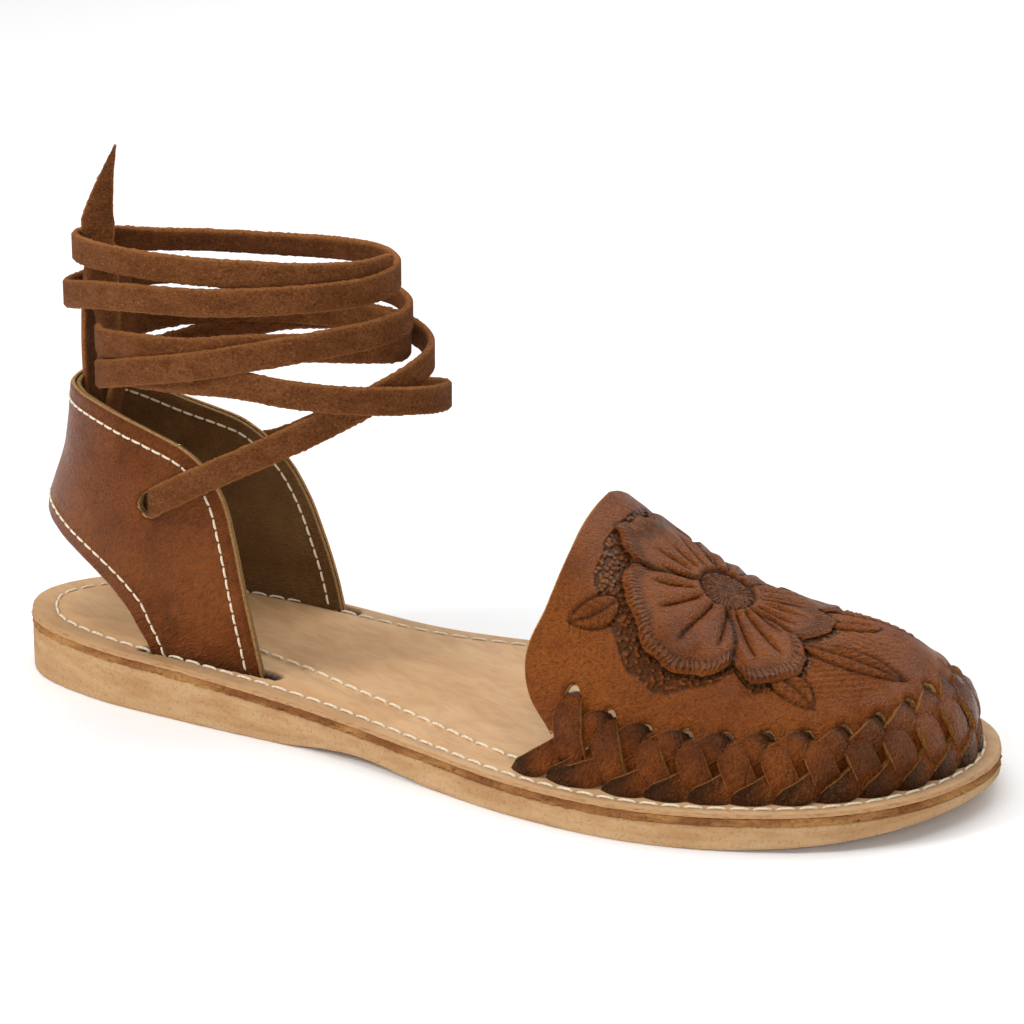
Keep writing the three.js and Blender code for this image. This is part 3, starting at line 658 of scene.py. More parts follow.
def tooling_marks(tree, tone, height, deep):
    """Fine strokes that fan out on the petals, and the pebbled ground round the flower."""
    chart = node(tree, "UVMap", uv_map="chart").outputs[0]
    pebbled = value_of(tree, "matted")
    cells = node(
        tree,
        "TexVoronoi",
        {"Vector": place(tree, size=(1.3, 1.3, 1.3)), "Scale": 1.0, "Randomness": 0.7},
        feature="SMOOTH_F1",
    ).outputs["Distance"]
    ground = curve(tree, pebbled, 0.15, 0.7)
    pit = maths(tree, "MULTIPLY", curve(tree, cells, 0.24, 0.55), ground)
    tone = mixed(tree, maths(tree, "MULTIPLY", pit, 0.8), tone, deep)
    height = maths(tree, "MULTIPLY_ADD", pit, -2.2, height)
    centre = [FLOWER[0] * MM, FLOWER[1] * MM, 0]
    spoke = node(tree, "VectorMath", {0: chart, 1: centre}, operation="SUBTRACT").outputs[0]
    parts = node(tree, "SeparateXYZ", {0: spoke})
    angle = maths(tree, "ARCTAN2", parts.outputs[1], parts.outputs[0])
    reach = node(tree, "VectorMath", {0: spoke}, operation="LENGTH").outputs["Value"]
    reach = maths(tree, "DIVIDE", reach, MM)
    wobble = grains(tree, place(tree, size=(5, 5, 5)), 2.0)
    turn = maths(tree, "MULTIPLY_ADD", wobble, 0.1, angle)
    fine = maths(tree, "SINE", maths(tree, "MULTIPLY", turn, 170.0))
    coarse = maths(tree, "SINE", maths(tree, "MULTIPLY", turn, 52.0))
    outer = curve(tree, reach, 12, 16)
    at_rim = maths(tree, "MULTIPLY", fine, outer)
    inner = maths(tree, "SUBTRACT", 1.0, outer)
    lines = maths(tree, "ADD", at_rim, maths(tree, "MULTIPLY", coarse, inner))
    broken = curve(tree, grains(tree, place(tree, size=(1.8, 1.8, 1.8)), 2.0), 0.36, 0.5)
    kept = maths(tree, "MULTIPLY", broken, value_of(tree, "worked"))
    stroke = maths(tree, "MULTIPLY", curve(tree, lines, 0.0, 0.85), kept)
    tone = mixed(tree, maths(tree, "MULTIPLY", stroke, 0.75), tone, deep)
    return tone, maths(tree, "MULTIPLY_ADD", stroke, -0.6, height)


def suede(name, base, light, deep, raw):
    """Split cowhide with a brushed nap: matt, mottled, and paler where it is cut."""
    material, tree = start_material(name)
    nap = grains(tree, place(tree, size=(0.6, 0.6, 0.42)), 4.0, 0.72)
    drift = grains(tree, place(tree, 0.3, (7, 7, 3.5)), 3.0, 0.6)
    hairs = grains(tree, place(tree, 0.5, (1.8, 0.7, 0.7)), 4.0, 0.7)
    tone = mixed(tree, curve(tree, drift, 0.34, 0.66), linear(base), linear(light))
    tone = mixed(tree, curve(tree, nap, 0.54, 0.34, 0, 0.75), tone, linear(deep))
    tone = mixed(tree, curve(tree, hairs, 0.52, 0.7, 0, 0.45), tone, linear(raw))
    edge = maths(tree, "MULTIPLY", value_of(tree, "edge"), curve(tree, nap, 0.3, 0.6, 0.35, 1))
    tone = mixed(tree, maths(tree, "MULTIPLY", edge, 0.85), tone, linear(raw))
    height = maths(tree, "MULTIPLY_ADD", hairs, 0.5, maths(tree, "MULTIPLY", nap, 1.0))
    roughness = curve(tree, nap, 0.3, 0.7, 0.98, 0.86)
    sheen = {"Sheen Weight": 0.1, "Sheen Roughness": 0.45, "Sheen Tint": linear(raw)}
    finish_material(tree, tone, roughness, height, 1.3, **{"Specular IOR Level": 0.15, **sheen})
    return material


def pale_leather(name, base, light, deep, burnt):
    """Undyed vegetable tanned leather: faint clouds and growth lines, darker where it was
    wetted and burnished at the edge."""
    material, tree = start_material(name)
    clouds = grains(tree, place(tree, 0.2, (34, 20, 20)), 4.0, 0.62, 0.5)
    lines = grains(tree, place(tree, 0.4, (9, 2.2, 2.2)), 3.0, 0.6, 0.6)
    pores = grains(tree, place(tree, size=(0.5, 0.5, 0.5)), 2.0, 0.6)
    tone = mixed(tree, curve(tree, clouds, 0.3, 0.68), linear(base), linear(light))
    tone = mixed(tree, curve(tree, lines, 0.55, 0.38, 0, 0.2), tone, linear(burnt))
    tone = mixed(tree, curve(tree, pores, 0.42, 0.3, 0, 0.16), tone, linear(burnt))
    fibres = grains(tree, place(tree, 0.0, (2.2, 2.2, 0.4)), 3.0, 0.65)
    worn = mixed(tree, curve(tree, fibres, 0.3, 0.55, 0.15, 0.9), linear(burnt), linear(base))
    tone = mixed(tree, curve(tree, value_of(tree, "edge"), 0.15, 0.85), tone, worn)
    # The dark attribute mixes in the deep colour: painted shade in the heel slots, and a faint
    # darkening along the rim.
    tone = mixed(tree, value_of(tree, "dark"), tone, linear(deep))
    height = maths(tree, "MULTIPLY_ADD", lines, 0.8, maths(tree, "MULTIPLY", pores, 0.4))
    frayed = maths(tree, "MULTIPLY", fibres, value_of(tree, "edge"))
    height = maths(tree, "MULTIPLY_ADD", frayed, 0.8, height)
    roughness = curve(tree, lines, 0.3, 0.7, 0.58, 0.7)
    finish_material(tree, tone, roughness, height, 0.2, **{"Specular IOR Level": 0.4})
    return material


def crumb(name, base, light, deep, size, stretch=1.0):
    """Sanded crepe rubber, or the raw fibres of split leather: crumbs of uneven colour."""
    material, tree = start_material(name)
    bits = grains(tree, place(tree, 0.0, (size * stretch, size * stretch, size)), 4.0, 0.7)
    drift = grains(tree, place(tree, size=(15, 15, 4)), 3.0, 0.6)
    specks = node(
        tree,
        "TexVoronoi",
        {"Vector": place(tree, size=(2.4, 2.4, 1.6)), "Scale": 1.0, "Randomness": 1.0},
    ).outputs["Distance"]
    tone = mixed(tree, curve(tree, drift, 0.34, 0.68), linear(base), linear(light))
    tone = mixed(tree, curve(tree, bits, 0.5, 0.3, 0, 0.5), tone, linear(deep))
    tone = mixed(tree, curve(tree, specks, 0.14, 0.06, 0, 0.5), tone, linear(deep))
    tone = mixed(tree, maths(tree, "MULTIPLY", value_of(tree, "dark"), 0.8), tone, linear(deep))
    finish_material(tree, tone, 0.9, bits, 0.3, **{"Specular IOR Level": 0.25})
    return material


def waxed_thread(name, base, deep):
    """Waxed linen thread: cream, with a twist that shows as slanting lines."""
    material, tree = start_material(name)
    twist = grains(tree, place(tree, 0.8, (1.2, 0.35, 0.35)), 2.0, 0.5)
    tone = mixed(tree, curve(tree, twist, 0.52, 0.36, 0, 0.7), linear(base), linear(deep))
    # Painted shade where the thread dives into its holes.
    tone = mixed(tree, value_of(tree, "dark"), tone, linear("#1d0f07"))
    finish_material(tree, tone, 0.6, twist, 0.15, **{"Sheen Weight": 0.1})
    return material


def studio_floor(name, colour):
    material, tree = start_material(name)
    drift = grains(tree, place(tree, size=(400, 400, 400)), 1.0)
    near = linear(colour)
    far = [c * 0.98 for c in near[:3]] + [1]
    tone = mixed(tree, curve(tree, drift, 0.3, 0.7, 0, 0.05), near, far)
    finish_material(tree, tone, 0.9, drift, 0.01, **{"Specular IOR Level": 0.1})
    return material


# ---- settings --------------------------------------------------------------------------
def length_property(name, description, default):
    return bpy.props.FloatProperty(
        name=name,
        description=description,
        default=default * MM,
        min=0.0,
        subtype="DISTANCE",
        unit="LENGTH",
        precision=5,
    )


def colour_property(name, description, code):
    described = description + ", sRGB hex"
    return bpy.props.StringProperty(name=name, description=described, default=code)


class SandalSizes(bpy.types.PropertyGroup):
    """Sizes of the sandal's straps, edges and stitches."""

    lace_width: length_property("Lace width", "Width of the suede lace", 6.9)
    lace_thickness: length_property("Lace thickness", "Thickness of the suede lace", 2.0)
    braid_width: length_property("Braid strap width", "Width of the toe braid's straps", 6.7)
    braid_thickness: length_property("Braid strap thickness", "Their thickness", 1.7)
    vamp_thickness: length_property("Vamp thickness", "Thickness of the vamp's leather", 2.0)
    sole_stitch: length_property("Sole stitch", "Distance between the sole's stitches", 5.2)
    counter_stitch: length_property("Counter stitch", "Distance between the counter's", 3.05)
    thread: length_property("Thread", "Diameter of the thread", 0.66)
    relief: length_property("Tooling depth", "How deep the vamp's flower is worked", 0.75)


class SandalColours(bpy.types.PropertyGroup):
    """Colours of the sandal's materials."""

    vamp: colour_property("Vamp", "Dyed and waxed leather of the vamp", "#7a3a11")
    vamp_light: colour_property("Vamp light", "The vamp where the dye is thin", "#8e4a18")
    counter: colour_property("Counter", "Leather of the heel counter", "#682f0b")
    counter_light: colour_property("Counter light", "The counter where it is rubbed", "#7d4018")
    strap: colour_property("Braid", "Polished leather of the braid", "#57260b")
    strap_light: colour_property("Braid light", "The braid where it is rubbed", "#834218")
    # The dye colour is also the colour of the painted shade in holes, under the braid's straps and
    # low on the counter.
    dye: colour_property("Dye", "Dye that gathers in cuts and folds", "#2a1106")
    cut: colour_property("Cut edge", "Raw cut edge of the leather", "#c79560")
    lining: colour_property("Lining", "Lining of the heel counter", "#5b3c1f")
    suede: colour_property("Suede", "Nap of the lace", "#723f1a")
    insole: colour_property("Insole", "Undyed leather of the insole", "#b88d5f")
    crepe: colour_property("Crepe", "Sanded side of the midsole", "#ab8258")
    thread: colour_property("Thread", "Waxed thread", "#e2d3b8")
    floor: colour_property("Floor", "The studio's floor", "#f8f8f8")


# ---- sole ------------------------------------------------------------------------------
AROUND = 880  # points round the sole's edge
FINE = np.linspace(0, 2, 4001)
FINE_ALONG = lengths(edge_point(FINE))
EDGE_ALONG = np.linspace(0, FINE_ALONG[-1], AROUND, endpoint=False)
SIDES = np.interp(EDGE_ALONG, FINE_ALONG, FINE)
RIM_DEPTH = 9.0  # rings follow the edge down to this inset, then close in on the middle
# Distance of the stitches from the edge, by side.
STITCH_INSET = column(
    (
        (-0.1, 6.7),
        (0, 6.3),
        (0.15, 6.0),
        (0.3, 5.4),
        (0.42, 4.0),
        (0.52, 3.1),
        (0.7, 3.1),
        (0.85, 3.2),
        (1.0, 3.9),
        (1.15, 4.1),
        (1.45, 3.8),
        (1.6, 4.6),
        (1.75, 6.2),
        (1.9, 6.7),
        (2.0, 6.3),
    )
)
# The second row of stitches, on the lateral side: along and across.
INNER_ROW = (
    (69, -12.3), (88, -16.6), (111, -24.4), (127, -30.4),
    (143.5, -36.9), (158, -41.6), (166, -44.0),
)


def ring_at(inset, close=0.0):
    """The ring round the sole at this inset, closed in on the middle line by a share."""
    flat = edge_point(SIDES, inset)
    if np.any(close):
        middle_x = 30 + flat[:, 0] * (194 / SOLE_LENGTH)
        middle_y = column([(a, (lat + med) / 2) for a, lat, med in SOLE_PLAN])(middle_x)
        flat = flat + (np.stack((middle_x, middle_y), 1) - flat) * close
    return flat


def sole_layer(name, bottom, top, material, slot, set_in, unevenness, lump, seed, corners):
    """One layer of the stack, with its sanded or raw side."""
    shell = Shell()
    rings = []

    def put(flat, z):
        rings.append(np.column_stack((flat, z)))

    for close in (0.99, 0.6, 0.0):
        flat = ring_at(RIM_DEPTH, close)
        put(flat, bottom(flat[:, 0]))
    low_corner, high_corner = corners
    first, last = (low_corner, low_corner * 0.25), (high_corner, 1 - high_corner * 0.25)
    sides = (first, (0.0, 0.16), (0.0, 0.38), (0.0, 0.62), (0.0, 0.84), last)
    for inset, height in ((2.5, 0.0), (0.5, 0.0), *sides, (0.5, 1.0), (2.5, 1.0)):
        flat = ring_at(inset + set_in)
        low, high = bottom(flat[:, 0]), top(flat[:, 0])
        points = np.column_stack((flat, low + (high - low) * height))
        if inset < 0.5:
            out = np.column_stack((flat - ring_at(inset + set_in + 1), np.zeros(AROUND)))
            shift = rough(points, lump, seed, 3) * unevenness
            nick = np.maximum(rough(points, lump * 2.2, seed + 9, 1) - 0.42, 0) * unevenness * 4
            points += out * (shift - nick)[:, None]
        put(points[:, :2], points[:, 2])
    for close in (0.0, 0.6, 0.99):
        flat = ring_at(RIM_DEPTH, close)
        put(flat, top(flat[:, 0]))
    shell.loft(np.array(rings), folded=True)
    return shell.piece(name, material, slot)


def insole_relief(flat, inset):
    """Heights of the insole's top: groove, padding and hollows, with painted shade in the slots.
    """
    x, y = flat.T
    seam = STITCH_INSET(SIDES)
    height = -0.32 * bump(inset, seam, 0.75) + 0.55 * ramp(inset, seam + 1.0, seam + 3.4)
    height -= 0.75 * np.maximum(1 - inset / 1.1, 0) ** 2.2
    dark = np.zeros(len(x))
    for side, start, end in SLOTS:
        turns = np.linspace(start, end, 24)
        line = heel_point(turns, np.full(24, 13.5), side)[:, :2]
        away = np.hypot(x[:, None] - line[:, 0], y[:, None] - line[:, 1]).min(1)
        height -= 1.5 * ramp(away, 2.3, 1.75)
        # Painted shade fills each slot, standing in for the depth that its shallow hollow lacks.
        dark = np.maximum(dark, ramp(away, 2.4, 1.9))
    row = even(np.column_stack((INNER_ROW, np.zeros(len(INNER_ROW)))), 0.5)
    away = np.hypot(x[:, None] - row[:, 0], y[:, None] - row[:, 1])
    near = away.min(1)
    outer = (y - row[away.argmin(1), 1]) < 0
    height -= np.where(outer, 0.55 * bump(near, 1.4, 1.7), 0.3 * bump(near, 1.1, 0.6)) * (near < 5)
    return height, dark


class SANDAL_OT_sole(bpy.types.Operator):
    """Builds the outsole, the crepe midsole and the split leather layer"""

    bl_idname = "sandal.sole"
    bl_label = "Sole layers"

    def execute(self, context):
        colours = context.scene.sandal_colours
        # Crepe is sanded after gluing, so its side is matt with small torn crumbs.
        crepe = crumb("sanded_crepe", colours.crepe, "#ba976d", "#80592f", 0.8)
        tread = crumb("sanded_outsole_crepe", "#b08a62", "#bd9a72", "#80592f", 0.8)
        # Split leather has no grain side, so its cut edge is all loose dark fibres.
        split = crumb("raw_split_leather", "#7a4a24", "#a87844", "#2c150a", 0.75, 1.4)
        leather_top = lambda x: sole_top(x) - INSOLE - 0.02
        leather_low = lambda x: sole_top(x) - INSOLE - GAP - LEATHER_LAYER
        crepe_top = lambda x: leather_low(x) - 0.02
        tread_top = lambda x: ground(x) + OUTSOLE
        # How far each side is set in, its unevenness, the size of its lumps and their seed.
        sanded, torn = (0.02, 0.1, 3.0, 3.0), (0.05, 0.6, 0.9, 40.0)
        layers = (
            ("outsole_crepe", ground, tread_top, tread, "outsole_crepe", *sanded, (0.2, 0.012)),
            ("midsole_crepe", tread_top, crepe_top, crepe, "crepe", *sanded, (0.012, 0.2)),
            (
                "split_leather_layer", leather_low, leather_top, split, "split_leather",
                *torn, (0.1, 0.1),
            ),
        )
        for layer, stands_for in zip(layers, ("outsole", "midsole", "leather_layer")):
            made = sole_layer(*layer)
            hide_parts(stands_for)
        return {"FINISHED"}


class SANDAL_OT_insole(bpy.types.Operator):
    """Builds the padded insole and its two rows of stitches"""

    bl_idname = "sandal.insole"
    bl_label = "Insole"

    def execute(self, context):
        sizes, colours = context.scene.sandal_sizes, context.scene.sandal_colours
        hide = pale_leather(
            "undyed_veg_tan_leather", colours.insole, "#c9a276", "#22140b", "#8d6137"
        )
        thread = waxed_thread("waxed_linen_thread", colours.thread, "#b9a98d")
        seam = STITCH_INSET(SIDES)
        shell = Shell()
        rings, edges, darks = [], [], []

        def put(flat, z, edge, dark):
            rings.append(np.column_stack((flat, z)))
            edges.append(np.broadcast_to(edge, AROUND))
            darks.append(np.broadcast_to(dark, AROUND))

        for close in (0.99, 0.5, 0.0):
            flat = ring_at(RIM_DEPTH, close)
            put(flat, sole_top(flat[:, 0]) - INSOLE, 0, 0)
        for inset, drop in ((0.4, 1.0), (0.1, 0.95), (0.0, 0.8), (0.0, 0.6), (0.02, 0.42)):
            flat = ring_at(inset)
            z = sole_top(flat[:, 0]) - INSOLE * drop
            points = np.column_stack((flat, z))
            out = flat - ring_at(inset + 1)
            flat = flat + out * (rough(points, 2.6, 7.0, 3) * 0.1)[:, None]
            put(flat, z, 1, 0)
        rim = [seam * k for k in (0.05, 0.12, 0.22, 0.36, 0.5, 0.64, 0.76, 0.85, 0.92, 0.97, 1.0)]
        rim += [seam + k for k in (0.15, 0.35, 0.6, 0.9, 1.3, 1.8, 2.3)]
        places = [(inset, 0.0) for inset in rim] + [(RIM_DEPTH + 0.4, k / 38) for k in range(39)]
        for inset, close in places:
            flat = ring_at(inset, min(close, 0.99))
            deep, dark = insole_relief(flat, inset + close * 30)
            z = sole_top(flat[:, 0]) + deep
            if close:
                z += 0.16 * rough(np.column_stack((flat, z)), 26, 2.0, 2)
            edge = np.maximum(1 - np.asarray(inset) / 0.9, 0) if not close else 0
            rim_dark = 0.1 * (1 - ramp(inset, seam, seam + 1.2)) if not close else 0
            put(flat, z, edge, np.maximum(dark, rim_dark))
        shell.loft(np.array(rings), True, edge=np.array(edges), dark=np.array(darks))
        made = shell.piece("insole_leather", hide, "pale_leather")
        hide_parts("insole")
        sewn = Shell()
        flat = ring_at(seam)
        line = np.column_stack((flat, sole_top(flat[:, 0]) - 0.25))
        line = np.vstack((line, line[:1]))
        up = np.tile((0.0, 0.0, 1.0), (len(line), 1))
        stitches(sewn, line, up, sizes.sole_stitch / MM, sizes.thread / MM)
        row = even(np.column_stack((INNER_ROW, np.zeros(len(INNER_ROW)))), 0.5)
        row[:, 2] = sole_top(row[:, 0]) + 0.42
        stitches(sewn, row, up[: len(row)], sizes.sole_stitch / MM, sizes.thread / MM)
        sewn.piece("sole_stitching", thread, "pale_leather")
        return {"FINISHED"}


# ---- the tooled flower -----------------------------------------------------------------
FLOWER = (190.2, -2.5)  # along the foot, and down the side from the ridge
DISC = (6.3, 8.8, 1.95)  # half axes of the flower's middle, and its turn in radians
# Reach of the petals by angle; the angle turns from the toe over the medial side.
PETALS = (
    (-66, 29.0), (-61, 34.6), (-51, 36.0), (-42, 35.2), (-35, 32.4), (-27, 24.5), (-20, 26.5),
    (-8, 27.5), (4, 26.0), (18, 21.0), (28, 27.0), (45, 30.0), (62, 29.0), (74, 23.5),
    (84, 29.0), (100, 32.0), (118, 31.0), (130, 24.5), (139, 29.5), (152, 28.0), (165, 24.2),
    (181, 24.4), (195, 26.4), (204, 25.0), (211, 22.6), (219, 24.6), (229, 28.0), (240, 29.2),
    (248, 31.0), (257, 34.4), (268, 35.4), (281, 34.0), (294, 29.0), (299, 34.6), (309, 36.0),
)
CUTS = (-66, -27, 18, 74, 130, 211)  # where one petal ends and the next begins
FOLDS = (3, 3, 3, 4, 4, 4)  # folds of each petal
# Leaves: base and tip, as along and down the side, with the half width.
LEAVES = (
    (173.0, -27.5, 164.6, -40.5, 3.2),
    (213.5, -15.5, 237.5, -21.0, 3.4),
    (213.5, -3.0, 240.0, 1.0, 3.6),
    (210.5, -28.5, 222.5, -35.0, 3.6),
    (212.0, 9.0, 235.0, 16.0, 3.4),
    (176.0, 24.0, 165.5, 37.0, 4.2),
)


def tooling(a, b):
    """The carved and stamped pattern at places on the vamp: height as a share of the
    tooling depth, the dark of its cuts, and the share of pebbled ground."""
    x, y = a - FLOWER[0], b - FLOWER[1]
    reach = np.hypot(x, y)
    angle = np.degrees(np.arctan2(y, x))
    angle = np.where(angle < CUTS[0], angle + 360, angle)
    rim = np.interp(angle, *np.array(PETALS).T)
    rim = rim + 0.35 * np.sin(np.radians(angle) * 23)
    past = reach - rim
    bounds = np.array(CUTS + (CUTS[0] + 360,))
    petal = np.clip(np.searchsorted(bounds, angle, "right") - 1, 0, len(CUTS) - 1)
    start, end = bounds[petal], bounds[petal + 1]
    share = (angle - start) / (end - start)
    folds = np.array(FOLDS)[petal]
    disc_turn = np.radians(angle) - DISC[2]
    disc = np.hypot(reach * np.cos(disc_turn) / DISC[1], reach * np.sin(disc_turn) / DISC[0])

    inside = ramp(past, 0.25, -0.25)
    on_petal = inside * ramp(disc, 1.0, 1.12)
    height = 0.75 * inside * ramp(past, 0, -1.6)
    height = height - 0.75 * (1 - inside) * np.exp(-np.maximum(past, 0) / 3.2)
    height += on_petal * 0.35 * bump(past, -1.7, 1.3)
    height -= on_petal * 0.55 * bump(past, -5.0, 2.2)
    bend = 0.03 * np.sin(reach * 0.16 + 2 * petal)
    wave = np.sin(2 * math.pi * folds * (share + bend))
    reaching = ramp(reach, 7, 11) * ramp(past, -5.5, -12)
    height += on_petal * reaching * (0.45 * wave - 0.25 * np.maximum(-wave, 0) ** 3)
    crease = on_petal * reaching * ramp(wave, -0.9, -0.995)
    height -= 0.8 * crease
    for k, cut in enumerate(CUTS):
        way = np.radians(cut)
        along = x * math.cos(way) + y * math.sin(way)
        off = (y * math.cos(way) - x * math.sin(way)) + 0.9 * np.sin(along * 0.24)
        here = (along > 5) * inside * ramp(disc, 0.98, 1.08)
        beside = 0.35 * np.exp(-np.abs(off) / 2.6) * (off > 0)
        height -= here * (0.95 * bump(off, 0, 0.62) + beside)
        height += here * 0.3 * np.exp(-np.abs(off + 0.9) / 2.0) * (off < 0)
        crease = np.maximum(crease, here * bump(off, 0, 0.75))
    spokes = np.sin(np.radians(angle) * 34 + 1.5 * np.sin(reach * 1.3))
    in_disc = ramp(disc, 1.04, 0.96)
    middle = 0.05 + 0.25 * spokes * ramp(disc, 0.2, 0.5) + 0.5 * bump(disc, 0.26, 0.1)
    height = height * (1 - in_disc) + in_disc * middle
    height -= 0.8 * bump(disc, 1.0, 0.07) - 0.5 * bump(disc, 1.17, 0.1)
    dark = np.maximum.reduce(
        (
            0.9 * bump(past, 0.35, 0.5),
            0.8 * crease,
            0.75 * bump(disc, 1.0, 0.09),
            in_disc * (0.28 + 0.3 * ramp(spokes, 0.2, -0.8)),
            on_petal * 0.45 * bump(past, -4.6, 1.4),
        )
    )
    dark = np.maximum(dark, 0.16 * on_petal * ramp(past, -9, -3))
    outside = 1 - inside
    behind = ramp(a, 200, 186)
    width = 3.6 + 4.6 * behind
    matted = outside * ramp(past, width, width - 3.0) * ramp(a, 224, 214)
    matted *= ramp(a, 163.5, 166.5)
    for base_x, base_y, tip_x, tip_y, half in LEAVES:
        way = np.array((tip_x - base_x, tip_y - base_y))
        size = np.hypot(*way)
        way = way / size
        along = ((a - base_x) * way[0] + (b - base_y) * way[1]) / size
        off = (b - base_y) * way[0] - (a - base_x) * way[1]
        off = off - 1.1 * np.sin(np.clip(along, 0, 1) * math.pi)
        profile = half * np.clip(along * (1 - along) * 4, 0, 1) ** 0.75 * (1.25 - 0.5 * along)
        room = profile - np.abs(off)
        leaf = ramp(room, -0.2, 0.4) * outside * (along > 0) * (along < 1)
        veins = np.sin((along * size - np.abs(off) * 0.9) * 2.6)
        raised = height * (1 - leaf) + leaf * (0.2 + 0.3 * ramp(room, 0, 1.5))
        height = np.where(leaf > 0.02, raised, height)
        height += leaf * (0.22 * veins * ramp(np.abs(off), 0.4, 1.0) - 0.7 * bump(off, 0, 0.5))
        rimmed = outside * (along > -0.02) * (along < 1.03) * bump(room, 0, 0.5)
        height -= 0.6 * rimmed
        dark = np.maximum(dark, np.maximum(0.75 * rimmed, leaf * 0.7 * bump(off, 0, 0.5)))
        dark = np.maximum(dark, leaf * 0.4 * ramp(veins, -0.1, -0.9))
        matted = matted * (1 - leaf)
    combed = outside * ramp(a, 208, 214) * ramp(a, 238, 230)
    combed = combed * ramp(np.abs(b + 8), 30, 20) * ramp(past, 0.4, 1.5)
    hatch = np.sin((a * 0.55 + np.abs(b + 12) * 1.25) * 2.9 + 1.2 * np.sin(b * 0.5))
    hatch = hatch * combed * (1 - matted)
    height += 0.16 * hatch
    dark = np.maximum(dark, 0.35 * np.maximum(-hatch, 0))
    rim_strokes = ramp(past, -5.4, -3.6) * ramp(past, -0.5, -1.1)
    rim_strokes = rim_strokes + 0.7 * ramp(reach, 18, 12) * crease
    worked = np.clip(on_petal * rim_strokes + in_disc, 0, 1)
    return height, dark, matted, worked


# ---- vamp ------------------------------------------------------------------------------
BRAID_HOLES = 22
# Height of the holes above the insole, by their number; the last ones mirror the first.
HOLE_HEIGHTS = (19.0, 14.9, 13.1, 12.4, 12.3, 12.3, 12.5, 12.7, 13.8, 15.4, 16.6)
HOLE_START = 11.5
BAND_FINE = np.linspace(-0.12, 1.12, 1241)
BAND_ALONG = lengths(band_point(BAND_FINE, 0.0))
BAND_ALONG = BAND_ALONG - np.interp(0, BAND_FINE, BAND_ALONG)
BAND_LENGTH = float(np.interp(1, BAND_FINE, BAND_ALONG))
HOLE_PITCH = (BAND_LENGTH - 2 * HOLE_START) / (BRAID_HOLES - 1)


def hole_place(k):
    """Distance along the braid and height of hole k."""
    mirrored = min(k, BRAID_HOLES - 1 - k)
    return HOLE_START + k * HOLE_PITCH, HOLE_HEIGHTS[max(mirrored, 0)]


def band_frame(along, height):
    """Points on the band and their outward normals, at distances along it and heights."""
    turn = np.interp(along, BAND_ALONG, BAND_FINE)
    p = band_point(turn, height)
    way = unit(band_point(turn + 0.002, height) - band_point(turn - 0.002, height))
    rise = unit(band_point(turn, np.asarray(height) + 0.3) - p)
    return p, unit(np.cross(way, rise)), way, rise


VAMP_MIDDLE = (200.0, 3.0, 5.0)  # a point under the vamp, which its leather faces away from
VAMP_TURNS = 190
VAMP_ROWS = 120  # from the lower edge to the ridge
EDGE_HEIGHT = 8.8


